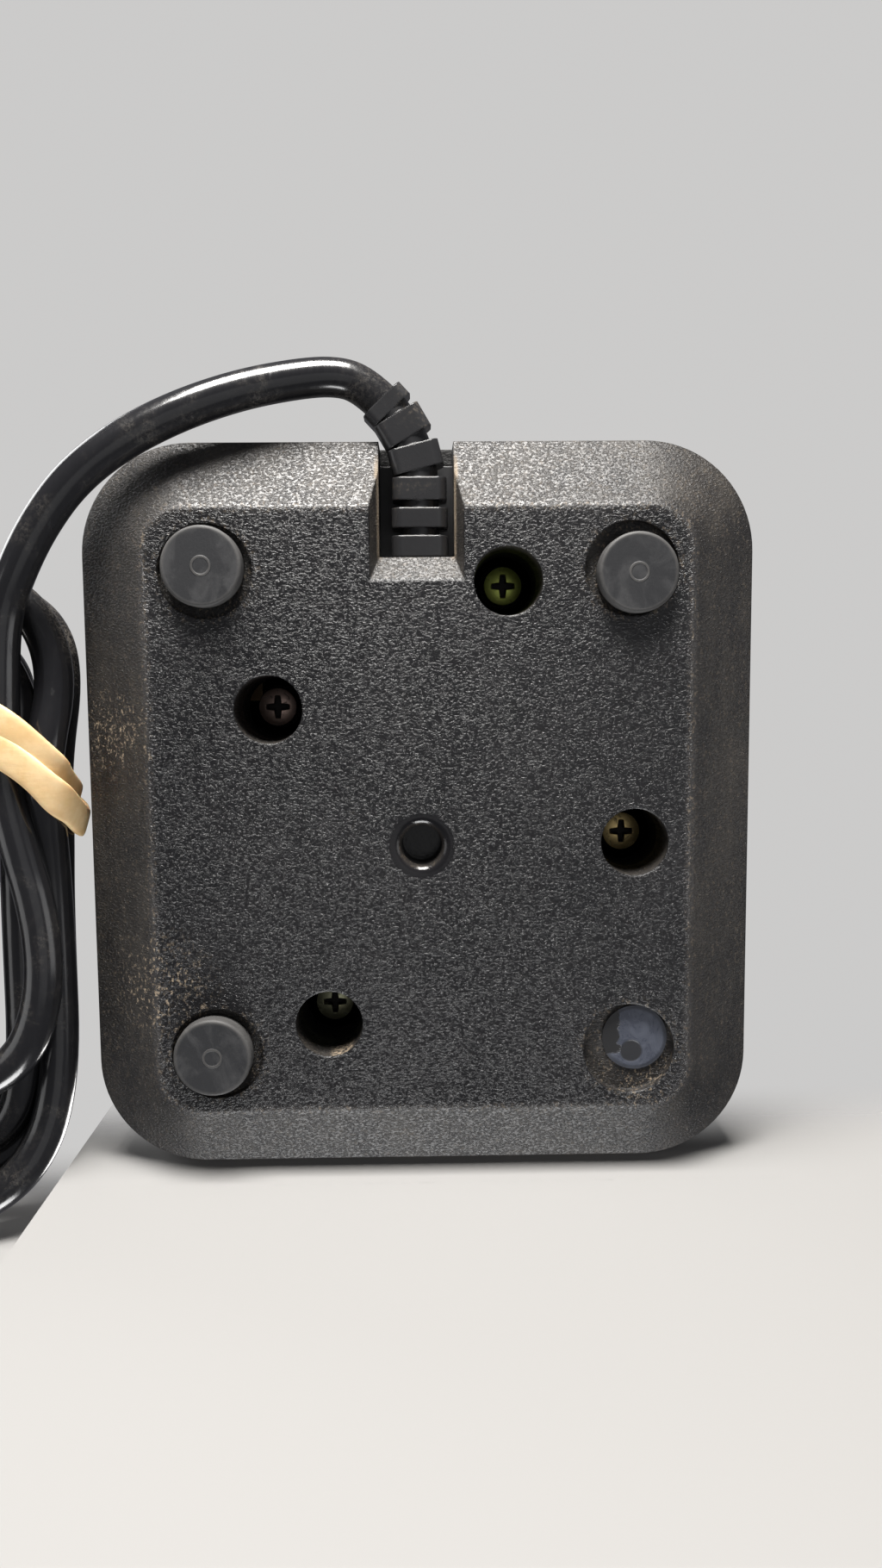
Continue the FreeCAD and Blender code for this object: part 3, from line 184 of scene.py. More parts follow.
def rounded(angle, squareness):
    """The cosine and sine of an angle, drawn out towards a square: each to a power, with its sign kept."""
    cosine, sine = np.cos(angle), np.sin(angle)
    return (np.sign(cosine) * np.abs(cosine) ** squareness[0], np.sign(sine) * np.abs(sine) ** squareness[1])


def band_path(angle):
    """The band's centreline, twice round the hank, in millimetres.

    A rounded rectangle in the XZ plane is followed twice, and its y leans with x and z. The two windings
    lie side by side under the hank and cross over it, so the shift along y is the cosine of half the
    angle, and one winding lies outside the other where they cross, as the sine of half the angle.
    """
    centre_x, centre_z, half_x, half_z = 70.1, 8.65, 14.8, 7.2
    turn = angle - np.pi / 2
    lift = 0.62 * (1 + np.sin(angle / 2))
    across, upward = rounded(turn, (0.42, 0.42))
    x, z = centre_x + (half_x + lift) * across, centre_z + (half_z + lift) * upward
    shift = 2.25 * np.cos(angle / 2) + 0.25 * np.sin(3 * turn)
    away = (x - centre_x) / half_x
    y = 12 + 3.6 * away - 5.4 * away ** 2 - 0.5 * (z - 7.6) + shift
    return np.stack([x, y, z], axis=1)


def rubber_band():
    """A flat band wound twice round the hank.

    The band's section, a rounded flat rectangle, is carried along its path, with its width across the
    path and its thickness square to both. The width swells and shrinks a little, as a sine.
    """
    width, thickness, facing = 2.45, 0.62, np.array([-0.30, 1.0, 0.0])
    angle = np.linspace(0, 4 * np.pi, 480, endpoint=False)
    path = band_path(angle)
    ahead = np.roll(path, -1, axis=0) - np.roll(path, 1, axis=0)
    ahead /= np.linalg.norm(ahead, axis=1, keepdims=True)
    side = facing - ahead * (ahead @ facing)[:, None]
    side /= np.linalg.norm(side, axis=1, keepdims=True)
    outward = np.cross(side, ahead)
    flat, thick = rounded(np.linspace(0, 2 * np.pi, 20, endpoint=False), (0.5, 0.6))
    flat, thick = flat * width, thick * thickness
    wobble = 1 + 0.06 * np.sin(5 * angle + 1)
    points = path[:, None] + side[:, None] * (flat[None, :, None] * wobble[:, None, None]) \
        + outward[:, None] * thick[None, :, None]
    piece = closed_surface("band_loops", points * MM)
    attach(piece, "housing")
    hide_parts("rubber_band")
    return piece


# ----------------------------------------------------------------------------------------- shader maths

class Value:
    """A node's output. Arithmetic on it adds Math nodes."""

    def __init__(self, nodes, socket):
        self.nodes, self.socket = nodes, socket

    def math(self, operation, *others):
        return self.nodes.add("ShaderNodeMath", {"operation": operation}, dict(enumerate((self,) + others)))

    def __add__(self, other):
        return self.math("ADD", other)

    __radd__ = __add__

    def __sub__(self, other):
        return self.math("SUBTRACT", other)

    def __rsub__(self, other):
        return self.nodes.add("ShaderNodeMath", {"operation": "SUBTRACT"}, {0: other, 1: self})

    def __mul__(self, other):
        return self.math("MULTIPLY", other)

    __rmul__ = __mul__

    def __truediv__(self, other):
        return self.math("DIVIDE", other)

    def __pow__(self, other):
        return self.math("POWER", other)

    def __abs__(self):
        return self.math("ABSOLUTE")

    def least(self, other):
        return self.math("MINIMUM", other)

    def most(self, other):
        return self.math("MAXIMUM", other)

    def ramp(self, low, high):
        """0 below low, 1 above high, and smooth between; turned round where low is above high."""
        return self.nodes.add("ShaderNodeMapRange", {"interpolation_type": "SMOOTHSTEP"},
                              {"Value": self, "From Min": low, "From Max": high})


class Nodes:
    """The nodes of a material or of the world."""

    def __init__(self, tree):
        self.tree = tree

    def put(self, socket, value):
        """Links a value to a socket, or sets it."""
        if isinstance(value, Value):
            self.tree.links.new(value.socket, socket)
        elif isinstance(value, tuple) and len(value) == 3 and socket.type == "RGBA":
            socket.default_value = (*value, 1)
        else:
            socket.default_value = value

    def add(self, kind, settings=None, inputs=None, output=0):
        """A node: its type, its settings, the values or links of its sockets, and which output to give."""
        node = self.tree.nodes.new(kind)
        for name, setting in (settings or {}).items():
            setattr(node, name, setting)
        for name, value in (inputs or {}).items():
            self.put(node.inputs[name], value)
        return Value(self, node.outputs[output])

    def mix(self, share, first, second):
        """A colour from first, where share is 0, to second."""
        return self.add("ShaderNodeMix", {"data_type": "RGBA"}, {0: share, 6: first, 7: second}, 2)


class Look(Nodes):
    """A material under construction, with its nodes and the object's own coordinates."""

    def __init__(self, name):
        self.material = bpy.data.materials.new(name)
        self.material.use_nodes = True
        super().__init__(self.material.node_tree)
        self.shader = self.tree.nodes["Principled BSDF"]
        self.place = self.add("ShaderNodeTexCoord", output="Object")
        self.x, self.y, self.z = (self.add("ShaderNodeSeparateXYZ", inputs={0: self.place}, output=axis)
                                  for axis in "XYZ")

    def stretched(self, across, along, up=1.0):
        """The object's coordinates, scaled along each axis."""
        return self.add("ShaderNodeMapping", inputs={"Vector": self.place, "Scale": (across, along, up)})

    def noise(self, size, detail=2.0, roughness=0.5, place=None, distortion=0.0):
        """A cloudy pattern from 0 to 1 with features about as large as size, in metres."""
        return self.add("ShaderNodeTexNoise", inputs={
            "Vector": place or self.place, "Scale": 0.5 / size, "Detail": detail, "Roughness": roughness,
            "Distortion": distortion})

    def off(self, x, y):
        """How far a point is from an upright line through (x, y)."""
        return ((self.x - x) ** 2 + (self.y - y) ** 2) ** 0.5

    def near(self, x, y, inner, outer):
        """1 within inner of an upright line through (x, y), falling to 0 at outer."""
        return self.off(x, y).ramp(outer, inner)

    def band(self, value, middle, half, soft):
        """1 where value is within half of middle, falling to 0 over soft."""
        return abs(value - middle).ramp(half + soft, half)

    def bump(self, height, distance, strength=1.0, normal=None):
        """A Bump node; distance is the pattern's full height in metres."""
        inputs = {"Height": height, "Distance": distance, "Strength": strength}
        if normal:
            inputs["Normal"] = normal
        return self.add("ShaderNodeBump", inputs=inputs)

    def finish(self, colour, roughness, normal=None, metallic=None, **constants):
        """Wires the shader and returns the material."""
        self.put(self.shader.inputs["Base Color"], colour)
        self.put(self.shader.inputs["Roughness"], roughness)
        if normal:
            self.put(self.shader.inputs["Normal"], normal)
        if metallic is not None:
            self.put(self.shader.inputs["Metallic"], metallic)
        for name, value in constants.items():
            self.put(self.shader.inputs[name.replace("_", " ")], value)
        return self.material


# -------------------------------------------------------------------------------------------- materials

def outline_distance(look):
    """How far inside the box's outline a point is, negative inside: that of a rounded rectangle.

    The part outside the corner's centre counts as a straight length less the radius, and the part inside
    it as the larger of the two distances to the sides.
    """
    over_x = abs(look.x) - (HALF_WIDTH - CORNER)
    over_y = abs(look.y) - (HALF_LENGTH - CORNER)
    outside = (over_x.most(0) ** 2 + over_y.most(0) ** 2) ** 0.5
    return outside + over_x.most(over_y).least(0) - CORNER


def underside_hollow_shade(look):
    """How deep inside a screw well or the centre hole a point is, from 0 at the mouth to 1: the mask of the
    painted shade that darkens the wells and the hole.
    """
    deep = look.off(0, CENTRE_HOLE_Y).ramp(3.3 * MM, 3.0 * MM) * look.z.ramp(FACE + 0.9 * MM, FACE + 2.2 * MM)
    for x, y in WELLS.values():
        well = look.off(x * MM, y * MM)
        deep = deep.most(well.ramp(5.4 * MM, 5.2 * MM) * look.z.ramp(FACE + 1 * MM, FACE + 6 * MM))
    return deep


def underside_scuffs(look, crease):
    """Where the underside is scuffed and dusty: patches by the right edge, the recess rims, the lost foot."""
    rims = look.near(RECESSES[0][0] * MM, RECESSES[0][1] * MM, 6.9 * MM, 9.0 * MM)
    for x, y in RECESSES[1:]:
        rims = rims.most(look.near(x * MM, y * MM, 6.9 * MM, 9.0 * MM))
    patches = (look.near(47.4 * MM, 13 * MM, 1 * MM, 9 * MM)
               + look.near(40.5 * MM, -26 * MM, 1 * MM, 11 * MM) * 0.8)
    bare = look.near(-34.6 * MM, -43.4 * MM, 0.5 * MM, 4.5 * MM)
    return patches * 1.3 + rims * 0.35 + crease * 0.3 + bare * 1.2


def housing_dust(look, slope, crease, tray, smears):
    """Tan dust: on the scuffs, thinly all over, along the slot's walls and in the front screw well."""
    specks = look.noise(0.3 * MM, 4, 0.75, look.stretched(1.0, 0.7))
    spread = underside_scuffs(look, crease) * tray + smears.ramp(0.6, 0.8) * 0.12 + slope * 0.16
    slot = look.band(abs(look.x - SLOT_X), SLOT_HALF, 0.3 * MM, 0.5 * MM) * look.y.ramp(
        SLOT_END - 1 * MM, SLOT_END + 1 * MM) * look.band(look.z, 6.4 * MM, 0.7 * MM, 0.9 * MM)
    front_well = look.near(12.7 * MM, -36.9 * MM, 1.3 * MM, 2.3 * MM) * look.z.ramp(
        FACE + 0.1 * MM, FACE + 0.6 * MM)
    return (specks.ramp(0.54, 0.66) * spread + slot * smears.ramp(0.3, 0.6) * 0.8
            + front_well * tray * specks.ramp(0.4, 0.6)).least(1)


def housing_cuts(look):
    """The dark seam between the shells and the small chip in the left bevel."""
    seam = look.band(look.z, PARTING, 0.06 * MM, 0.12 * MM)
    chip = ((look.y - 18.3 * MM) ** 2 + (look.z - 10.2 * MM) ** 2) ** 0.5
    return seam.most(chip.ramp(0.95 * MM, 0.75 * MM) * look.x.ramp(-51 * MM, -51.5 * MM))


def housing_plastic():
    """Black moulded plastic with a leathery grain, worn and dusty along its edges and in its corners. A
    brownish film on the bevels is partly dust and partly painted light that makes them lighter than the face,
    and painted shade darkens the screw wells and the centre hole.
    """
    look = Look("housing_plastic")
    inset = outline_distance(look)
    under = look.z.ramp(FACE + 0.6 * MM, FACE + 0.1 * MM)
    face = under * inset.ramp(-BEVEL + 0.1 * MM, -BEVEL - 0.5 * MM)
    slope = look.z.ramp(PARTING - 4 * MM, PARTING - 8 * MM) * (1 - face)
    wall = look.z.ramp(BEVEL_TOP + 0.2 * MM, BEVEL_TOP + 1.8 * MM)
    tray = look.z.ramp(PARTING - 1 * MM, PARTING - 2 * MM)
    crease = look.band(inset, -BEVEL, 0.25 * MM, 0.9 * MM) * look.z.ramp(FACE + 1.2 * MM, FACE + 0.2 * MM)
    coarse = look.noise(0.24 * MM, 3, 0.6, look.stretched(1.0, 1.5, 1.2), 0.3).ramp(0.40, 0.80)
    fine = look.noise(0.14 * MM, 2, 0.6)
    grain = coarse * (1 - 0.2 * face) + fine * 0.3
    smooth = look.off(0, CENTRE_HOLE_Y).ramp(5.2 * MM, 4.6 * MM) * tray
    clouds = look.noise(9 * MM, 3, 0.6)
    smears = look.noise(3.2 * MM, 4, 0.7, look.stretched(1.0, 0.35))
    dust = housing_dust(look, slope, crease, tray, smears)
    cuts = housing_cuts(look)
    wear = (crease * clouds.ramp(0.25, 0.55) * 0.6 + coarse.ramp(0.75, 1.0) * 0.12).least(1)
    black = look.mix(clouds.ramp(0.3, 0.7), (0.0048, 0.0047, 0.0056), (0.009, 0.0086, 0.0095))
    # a brownish film on the bevels: partly dust, partly painted light that makes the bevels lighter than the
    # face
    film_and_painted_light = look.mix(slope * smears.ramp(0.2, 0.8), black, (0.036, 0.032, 0.028))
    rubbed = look.mix(wear, film_and_painted_light, (0.040, 0.038, 0.038))
    dusty = look.mix(dust, rubbed, (0.26, 0.205, 0.145))
    # painted shade: the screw wells and the centre hole darken towards their depths
    hollow_shade = look.mix(underside_hollow_shade(look) * tray, dusty, (0.002, 0.002, 0.002))
    colour = look.mix(cuts, hollow_shade, (0.004, 0.004, 0.004))
    roughness = (0.36 + wall * 0.34 - face * 0.05 + dust * 0.35 - wear * 0.12 + slope * 0.06
                 + (smears - 0.5) * 0.12 - smooth * 0.2)
    soft_edges = look.add("ShaderNodeBevel", {"samples": 4}, {"Radius": 0.55 * MM})
    seam_cut = look.bump(1 - cuts, 0.25 * MM, 0.6, soft_edges)
    normal = look.bump(grain * (1 - smooth * 0.9), 0.105 * MM, 1.0, seam_cut)
    return look.finish(colour, roughness, normal, IOR=1.46)


def foot_rubber(name, x, y):
    """A grey stick-on foot: a worn, dusty disc with a small moulded ring in its middle, and a painted
    highlight round its edge.
    """
    look = Look(name)
    radius = look.off(x * MM, y * MM)
    ring = look.band(radius, 1.35 * MM, 0.1 * MM, 0.16 * MM)
    # painted highlight: the foot's edge is lighter, where its chamfer catches the light
    edge_highlight = radius.ramp(5.2 * MM, 5.7 * MM)
    film = look.noise(2.4 * MM, 4, 0.65, look.stretched(1.0, 0.7), 0.8)
    grit = look.noise(0.25 * MM, 3, 0.7)
    scratches = look.noise(0.5 * MM, 2, 0.5, look.stretched(6.0, 0.7))
    dust = film.ramp(0.42, 0.66) * 0.65 + scratches.ramp(0.62, 0.75) * 0.3 + grit.ramp(0.6, 0.8) * 0.25
    rubber = look.mix(dust.least(1), (0.012, 0.0125, 0.0145), (0.042, 0.042, 0.044))
    colour = look.mix((ring * 0.35 + edge_highlight * 0.3).least(1), rubber, (0.11, 0.105, 0.098))
    relief = ring * 1.0 + grit * 0.25 + film * 0.15
    return look.finish(colour, 0.62 + dust * 0.2, look.bump(relief, 0.12 * MM, 0.7), IOR=1.48)


def adhesive_film():
    """What a lost foot left: a glossy blue-grey disc of adhesive, torn and dirty at one side."""
    look = Look("adhesive_film")
    x, y = LOST_FOOT[0] * MM, LOST_FOOT[1] * MM
    radius = look.off(x, y)
    ragged = look.noise(1.6 * MM, 4, 0.7, distortion=1.2)
    torn = (look.x + ragged * 3.4 * MM).ramp(x + 4.0 * MM, x + 4.3 * MM) * (
        look.y + ragged * 1.0 * MM).ramp(y - 2.2 * MM, y - 1.8 * MM)
    hole = look.near(x + 0.5 * MM, y - 2.2 * MM, 1.5 * MM, 1.9 * MM)
    edge = radius.ramp(4.4 * MM, 4.95 * MM)
    bare = (torn + hole * 0.9 + edge * 0.5).least(1)
    film = look.mix(ragged.ramp(0.35, 0.7), (0.050, 0.056, 0.076), (0.085, 0.094, 0.120))
    colour = look.mix(bare, film, (0.012, 0.012, 0.013))
    roughness = 0.2 + ragged * 0.16 + bare * 0.3
    return look.finish(colour, roughness, look.bump((1 - bare) + ragged * 0.3, 0.16 * MM, 0.8), IOR=1.48)


def zinc_plate():
    """Zinc-plated screws, from yellow-green to a dull brown from one to the next.

    Each housing screw's head is shaded as a low dome, and its crossed recess is widened by a dark cross of
    painted shade.
    """
    look = Look("zinc_plate")
    patches = look.noise(0.7 * MM, 3, 0.6, distortion=1.0)
    turned = look.noise(0.12 * MM, 2, 0.5)
    colour = look.mix(patches.ramp(0.35, 0.65), (0.30, 0.26, 0.14), (0.38, 0.34, 0.22))
    tints = {"lead": (0.62, 0.72, 0.16), "right": (0.46, 0.33, 0.29), "left": (0.85, 0.64, 0.28),
             "front": (0.55, 0.56, 0.36)}
    dome, recess = 0, 0
    for name, tint in tints.items():
        along, across = look.x - WELLS[name][0] * MM, look.y - WELLS[name][1] * MM
        radius = (along ** 2 + across ** 2) ** 0.5
        head = radius.ramp(3.6 * MM, 3.2 * MM)
        colour = look.mix(head * (0.75 + patches * 0.25), colour, tint)
        arms = abs(along).least(abs(across)) + radius * 0.16
        cross = arms.ramp(0.76 * MM, 0.6 * MM) * radius.ramp(2.0 * MM, 1.7 * MM)
        dome = dome + head * (1 - (radius / (3 * MM)) ** 2)
        recess = recess + cross * head
    # dark grime in patches, and painted shade in the crossed recesses
    grime_and_recess_shade = (patches.ramp(0.55, 0.75) * 0.7).most(recess)
    colour = look.mix(grime_and_recess_shade, colour, (0.012, 0.009, 0.007))
    dished = look.bump(dome - recess * 0.8, 0.5 * MM, 1.0)
    return look.finish(colour, 0.28 + grime_and_recess_shade * 0.3 + turned * 0.1, look.bump(turned, 0.02 * MM, 0.5, dished),
                       metallic=0.95 - grime_and_recess_shade * 0.8)


def polished_steel(name, colour, roughness, size):
    """Bright steel with fine turning or drawing marks and a few dull spots."""
    look = Look(name)
    marks = look.noise(size, 2, 0.5, look.stretched(1, 1, 6))
    spots = look.noise(2.2 * MM, 4, 0.65)
    dull = spots.ramp(0.58, 0.75)
    shade = look.mix(dull * 0.5, colour, tuple(0.45 * c for c in colour))
    return look.finish(shade, roughness + marks * 0.12 + dull * 0.22, look.bump(marks, 0.015 * MM, 0.5),
                       metallic=1.0)


def contact_brass():
    """Rolled brass strip with faint rolling lines and a brown tarnish."""
    look = Look("contact_brass")
    rolled = look.noise(0.3 * MM, 2, 0.5, look.stretched(1, 1, 9))
    tarnish = look.noise(1.7 * MM, 4, 0.7).ramp(0.5, 0.75)
    colour = look.mix(tarnish, (0.74, 0.53, 0.22), (0.36, 0.23, 0.09))
    return look.finish(colour, 0.24 + rolled * 0.15 + tarnish * 0.2, look.bump(rolled, 0.01 * MM, 0.5),
                       metallic=1.0)


def board_laminate():
    """Brown paper laminate with copper tracks under a thin lacquer."""
    look = Look("board_laminate")
    fibres = look.noise(0.7 * MM, 4, 0.7, look.stretched(1.0, 0.25))
    tracks = look.add("ShaderNodeTexWave", {"wave_type": "BANDS", "bands_direction": "X"},
                      {"Vector": look.place, "Scale": 95.0, "Distortion": 2.0, "Detail": 0.0})
    track = tracks.ramp(0.72, 0.82) * look.band(abs(look.x), 17 * MM, 5 * MM, 0.4 * MM)
    paper = look.mix(fibres, (0.30, 0.17, 0.06), (0.46, 0.29, 0.12))
    colour = look.mix(track, paper, (0.42, 0.35, 0.10))
    return look.finish(colour, 0.42 + fibres * 0.15, look.bump(fibres * 0.4 + track, 0.05 * MM, 0.6))


def inner_plastic():
    """Natural white nylon, slightly yellowed, with faint flow lines and a little grease."""
    look = Look("inner_plastic")
    flow = look.noise(4 * MM, 3, 0.6, look.stretched(1.0, 0.3), 1.5)
    fine = look.noise(0.3 * MM, 2, 0.5)
    grease = look.noise(3 * MM, 4, 0.6).ramp(0.6, 0.75)
    colour = look.mix(flow, (0.66, 0.63, 0.54), (0.76, 0.74, 0.67))
    colour = look.mix(grease * 0.35, colour, (0.42, 0.36, 0.24))
    normal = look.bump(fine + flow * 0.5, 0.03 * MM, 0.6)
    return look.finish(colour, 0.46 - grease * 0.22 + fine * 0.06, normal,
                       Subsurface_Weight=0.08, Subsurface_Scale=0.002)


def gloss_red(name, size, dull):
    """Polished red moulding: a faint ripple, fine rubbing scratches and finger marks."""
    look = Look(name)
    ripple = look.noise(3.5 * MM, 2, 0.5)
    scratches = look.noise(0.5 * MM, 3, 0.6, look.stretched(1.0, 5.0, 2.0), 0.5).ramp(0.6, 0.72)
    more = look.noise(0.5 * MM, 3, 0.6, look.stretched(4.0, 1.0, 0.7), 0.5).ramp(0.62, 0.74)
    marks = look.noise(size, 3, 0.6, distortion=0.8).ramp(0.5, 0.72)
    colour = look.mix(ripple.ramp(0.3, 0.7), (0.50, 0.017, 0.012), (0.58, 0.024, 0.016))
    colour = look.mix((scratches + more) * 0.16, colour, (0.66, 0.16, 0.13))
    roughness = dull + marks * 0.14 + (scratches + more) * 0.12
    normal = look.bump(ripple * 0.8 - (scratches + more) * 0.2, 0.03 * MM, 0.5)
    return look.finish(colour, roughness, normal, IOR=1.5, Coat_Weight=0.35, Coat_Roughness=0.12)


def satin_black(name, dull, grain, dusty=0.3):
    """Satin black moulding with a fine grain, softened edges and dust in patches."""
    look = Look(name)
    fine = look.noise(grain, 3, 0.6)
    clouds = look.noise(5 * MM, 4, 0.65, look.stretched(1.0, 0.6, 1.5), 0.6)
    specks = look.noise(0.4 * MM, 4, 0.75)
    dust = clouds.ramp(0.5, 0.75) * specks.ramp(0.5, 0.7) * dusty
    colour = look.mix(clouds, (0.013, 0.013, 0.0145), (0.024, 0.024, 0.025))
    colour = look.mix(dust, colour, (0.20, 0.165, 0.125))
    edges = look.add("ShaderNodeBevel", {"samples": 4}, {"Radius": 0.35 * MM})
    normal = look.bump(fine, 0.03 * MM, 0.7, edges)
    return look.finish(colour, dull + clouds * 0.1 + dust * 0.3, normal, IOR=1.5)


def lead_sheath():
    """Glossy black sheath with draw lines along it, rub marks, and dust that clings in patches."""
    look = Look("lead_sheath")
    lines = look.noise(0.5 * MM, 2, 0.5, look.stretched(1.6, 0.18, 1.6))
    ripple = look.noise(7 * MM, 2, 0.5)
    clouds = look.noise(6 * MM, 4, 0.65, distortion=0.7)
    specks = look.noise(0.3 * MM, 4, 0.8)
    rear = look.y.ramp(12 * MM, 28 * MM) * look.z.ramp(7 * MM, 12 * MM)
    patches = clouds.ramp(0.5, 0.72) * 0.35 + rear * clouds.ramp(0.3, 0.55) * 0.6
    dust = (patches * specks.ramp(0.4, 0.66)).least(1)
    rubs = look.noise(2 * MM, 3, 0.6, look.stretched(2.5, 0.6, 2.5)).ramp(0.62, 0.75)
    colour = look.mix(clouds, (0.006, 0.006, 0.007), (0.012, 0.012, 0.0135))
    colour = look.mix(dust, colour, (0.15, 0.135, 0.115))
    roughness = 0.13 + lines * 0.12 + rubs * 0.16 + dust * 0.45
    normal = look.bump(lines * 0.25 + ripple * 0.9, 0.12 * MM, 0.5)
    return look.finish(colour, roughness, normal, IOR=1.52, Coat_Weight=0.25, Coat_Roughness=0.15)


def core_insulation():
    """Thin coloured insulation on the cores, one colour beside the next."""
    look = Look("core_insulation")
    stripes = look.add("ShaderNodeTexWave", {"wave_type": "BANDS", "bands_direction": "X"},
                       {"Vector": look.place, "Scale": 70.0, "Distortion": 0.0})
    fine = look.noise(0.5 * MM, 2, 0.5)
    colour = look.mix(stripes.ramp(0.4, 0.6), (0.42, 0.035, 0.03), (0.62, 0.55, 0.10))
    return look.finish(colour, 0.34 + fine * 0.12, look.bump(fine, 0.02 * MM, 0.5))


def band_rubber():
    """Cream rubber: soft stretch lines along the band, darker in its folds, and a powdery bloom."""
    look = Look("band_rubber")
    stretch = look.noise(1.1 * MM, 3, 0.6, look.stretched(0.25, 1.6, 0.25))
    bloom = look.noise(2.6 * MM, 4, 0.65)
    fine = look.noise(0.22 * MM, 3, 0.6)
    specks = look.noise(0.5 * MM, 4, 0.8).ramp(0.66, 0.76)
    colour = look.mix(bloom.ramp(0.3, 0.7), (0.66, 0.44, 0.205), (0.76, 0.56, 0.31))
    colour = look.mix(stretch.ramp(0.55, 0.8) * 0.5, colour, (0.54, 0.35, 0.16))
    colour = look.mix(specks * 0.35, colour, (0.20, 0.14, 0.08))
    return look.finish(colour, 0.5 + bloom * 0.16, look.bump(stretch * 0.8 + fine * 0.25, 0.09 * MM, 0.6),
                       Subsurface_Weight=0.12, Subsurface_Scale=0.0015, IOR=1.5)


def paint(material, *nodes):
    """Gives a material to carried-over nodes."""
    for name in nodes:
        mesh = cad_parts[name].data
        mesh.materials.clear()
        mesh.materials.append(material)


def carried_over_finishes():
    """Each carried-over node's finish."""
    paint(housing_plastic(), "lower_shell", "upper_shell")
    for name, (x, y) in FEET.items():
        paint(foot_rubber("rubber_" + name, x, y), name)
    paint(adhesive_film(), "adhesive_residue", "foot_adhesive_pads")
    paint(zinc_plate(), "housing_screws", "yoke_screws", "button_screws", "clamp_screws")
    paint(polished_steel("ground_steel", (0.60, 0.60, 0.62), 0.16, 0.2 * MM), "pivot_pin", "stick_shaft",
          "button_snap_contacts")
    paint(polished_steel("plated_steel", (0.62, 0.61, 0.58), 0.26, 0.3 * MM), "plug_skirt")
    paint(polished_steel("drawn_wire", (0.46, 0.46, 0.48), 0.26, 0.15 * MM), "centring_spring",
          "button_spring_left", "button_spring_right", "retaining_clip")
    paint(contact_brass(), "leaf_contacts_inner", "leaf_contacts_outer", "ball_insert", "plug_contacts")
    paint(board_laminate(), "contact_board", "button_board_left", "button_board_right")
    paint(inner_plastic(), "pivot_yoke", "gimbal_ring", "stick_hub", "actuator_drum", "button_holder_left",
          "button_holder_right")
    paint(gloss_red("ball_red", 9 * MM, 0.12), "stick_ball")
    paint(gloss_red("button_red", 4 * MM, 0.2), "fire_button_left", "fire_button_right")
    paint(satin_black("collar_black", 0.34, 0.5 * MM), "stick_collar", "shaft_sleeve", "dust_dome")
    paint(satin_black("relief_black", 0.22, 0.35 * MM, 0.5), "strain_relief", "plug_relief")
    paint(satin_black("plug_black", 0.42, 0.3 * MM), "plug_hood", "plug_insert", "cable_clamp")
    paint(core_insulation(), "core_wires")


# ------------------------------------------------------------------------------------- stage and lights

def one_sided(name, corners, colour, fade):
    """A pale sheet that the camera sees only from its front, and that neither shades nor lights.

    fade takes the sheet's look and gives how clear the sheet is from place to place.
    """
    mesh = bpy.data.meshes.new(name)
    mesh.from_pydata([point for quad in corners for point in quad], [],
                     [tuple(range(4 * index, 4 * index + 4)) for index in range(len(corners))])
    mesh.update()
    sheet = link(name, mesh)
    sheet.visible_diffuse = sheet.visible_glossy = sheet.visible_transmission = sheet.visible_shadow = False
    look = Look(name)
    behind = look.add("ShaderNodeNewGeometry", output="Backfacing")
    clear = look.add("ShaderNodeBsdfTransparent")
    paper = look.add("ShaderNodeBsdfDiffuse", inputs={"Color": colour})
    both = look.add("ShaderNodeMixShader", inputs={0: behind.most(fade(look)), 1: paper, 2: clear})
    look.put(look.tree.nodes["Material Output"].inputs["Surface"], both)
    look.tree.nodes.remove(look.shader)
    mesh.materials.append(look.material)


def stage():
    """The floor under the feet, and a shelf behind the front wall, on which the box can also stand up.

    The shelf lies a step lower beside the box, where the hank's front end reaches past the wall.
    """
    wide, step = 1.6, 57.5 * MM
    one_sided("floor", [[(-wide, -wide, 0), (wide, -wide, 0), (wide, wide, 0), (-wide, wide, 0)]],
              (0.62, 0.61, 0.60), lambda look: ((look.x ** 2 + look.y ** 2) ** 0.5).ramp(0.35, 1.3))
    shelf = [(-wide, step, -HALF_LENGTH - 0.3 * MM), (step, wide, -HALF_LENGTH - 10.5 * MM)]
    one_sided("shelf", [[(x0, y, -1.2), (x0, y, 0.1), (x1, y, 0.1), (x1, y, -1.2)] for x0, x1, y in shelf],
              (0.24, 0.237, 0.233),
              lambda look: look.z.ramp(0.012, 0.042).most(abs(look.x).ramp(0.10, 0.17)))


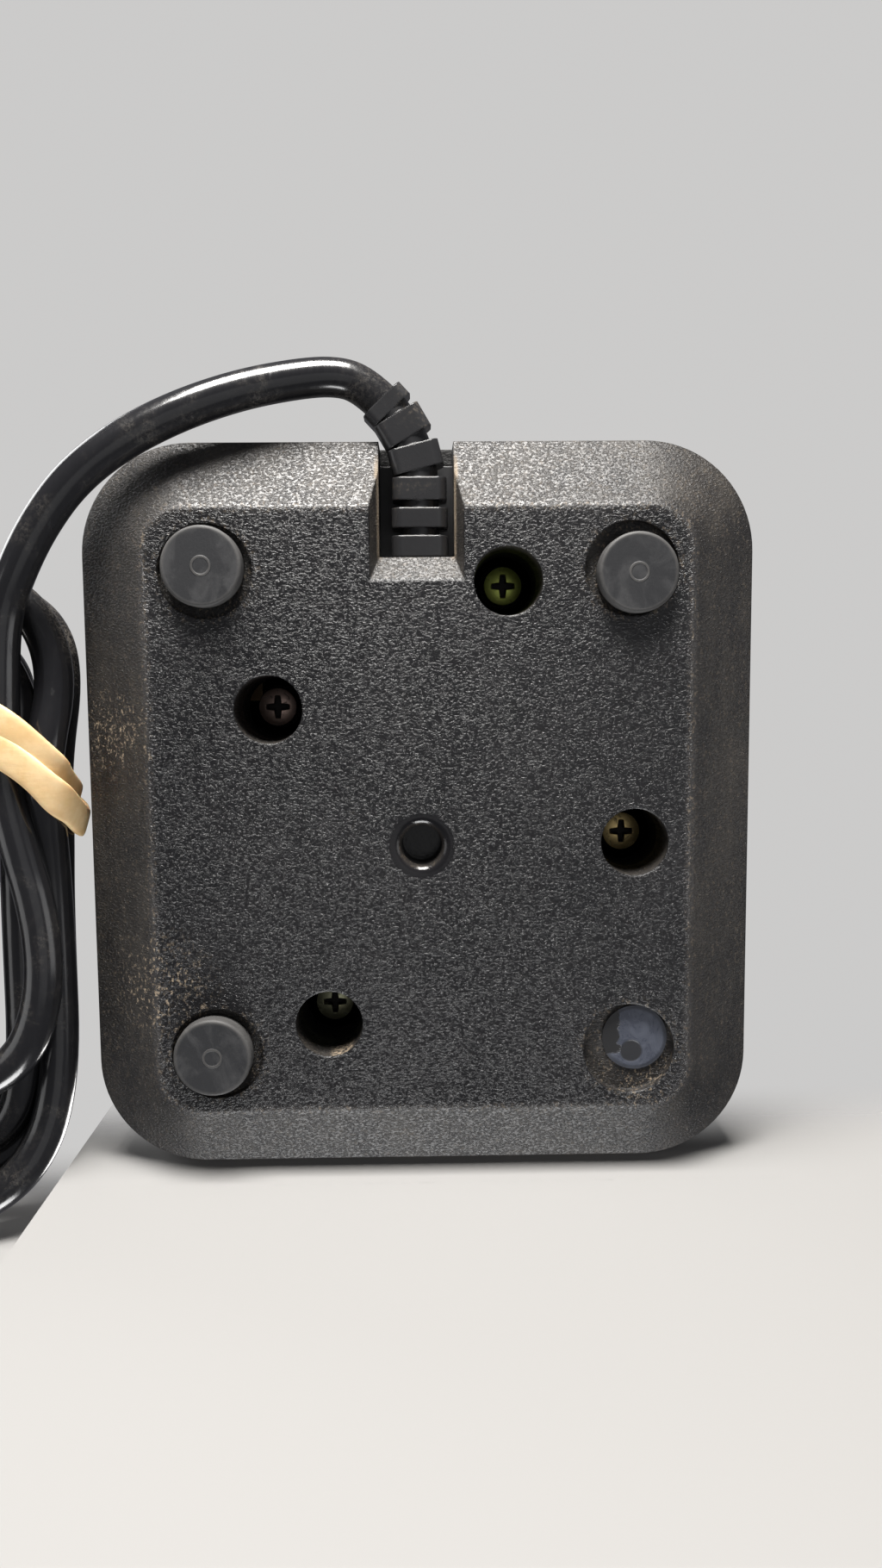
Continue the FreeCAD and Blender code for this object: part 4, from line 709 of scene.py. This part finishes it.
# Each lamp: its place, what it points at, its size, its power and its colour
LAMPS = {
    "under_key": ((0.03, 0.49, -0.12), (0, 0.02, 0.01), 0.23, 10.5, (1.0, 0.975, 0.94)),
    "under_fill": ((-0.20, -0.05, -0.62), (0, 0, 0), 0.5, 0.25, (1, 1, 1)),
    "front_fill": ((0, -0.50, -0.13), (0, 0, 0.01), 0.24, 2.4, (1, 1, 1)),
    "right_fill": ((0.50, -0.04, -0.17), (0, 0, 0.01), 0.3, 0.35, (1, 1, 1)),
    "left_fill": ((-0.50, -0.04, -0.17), (0, 0, 0.01), 0.3, 0.4, (1, 1, 1)),
    "top_key": ((-1.4, -1.8, 2.5), (0, 0, 0.04), 1.6, 85.0, (1.0, 0.98, 0.96)),
    "top_fill": ((1.9, 1.2, 1.7), (0, 0, 0.04), 1.6, 32.0, (1, 1, 1)),
}


def lamp(name, place, aim, size, power, colour):
    """A soft square lamp."""
    light = bpy.data.lights.new(name, "AREA")
    light.size, light.energy, light.color = size, power, colour
    thing = link(name, light)
    thing.location = place
    thing.rotation_mode = "QUATERNION"
    thing.rotation_quaternion = (Vector(aim) - Vector(place)).to_track_quat("-Z", "Y")


def surround():
    """An even pale surround, dimmer in what it lights and in what shiny surfaces show of it."""
    world = bpy.data.worlds.new("surround")
    bpy.context.scene.world = world
    world.use_nodes = True
    nodes = Nodes(world.node_tree)
    colour = (0.17, 0.17, 0.175)
    for kind, seen in (("Is Glossy Ray", (0.13, 0.13, 0.14)), ("Is Transmission Ray", (0.45, 0.45, 0.46)),
                       ("Is Camera Ray", (0.60, 0.595, 0.59))):
        colour = nodes.mix(nodes.add("ShaderNodeLightPath", output=kind), colour, seen)
    nodes.put(world.node_tree.nodes["Background"].inputs["Color"], colour)


camera()
cord = lead()
band = rubber_band()
cord.data.materials.append(lead_sheath())
band.data.materials.append(band_rubber())
carried_over_finishes()
stage()
for lamp_name, settings in LAMPS.items():
    lamp(lamp_name, *settings)
surround()
bpy.context.scene.view_settings.view_transform = "Standard"
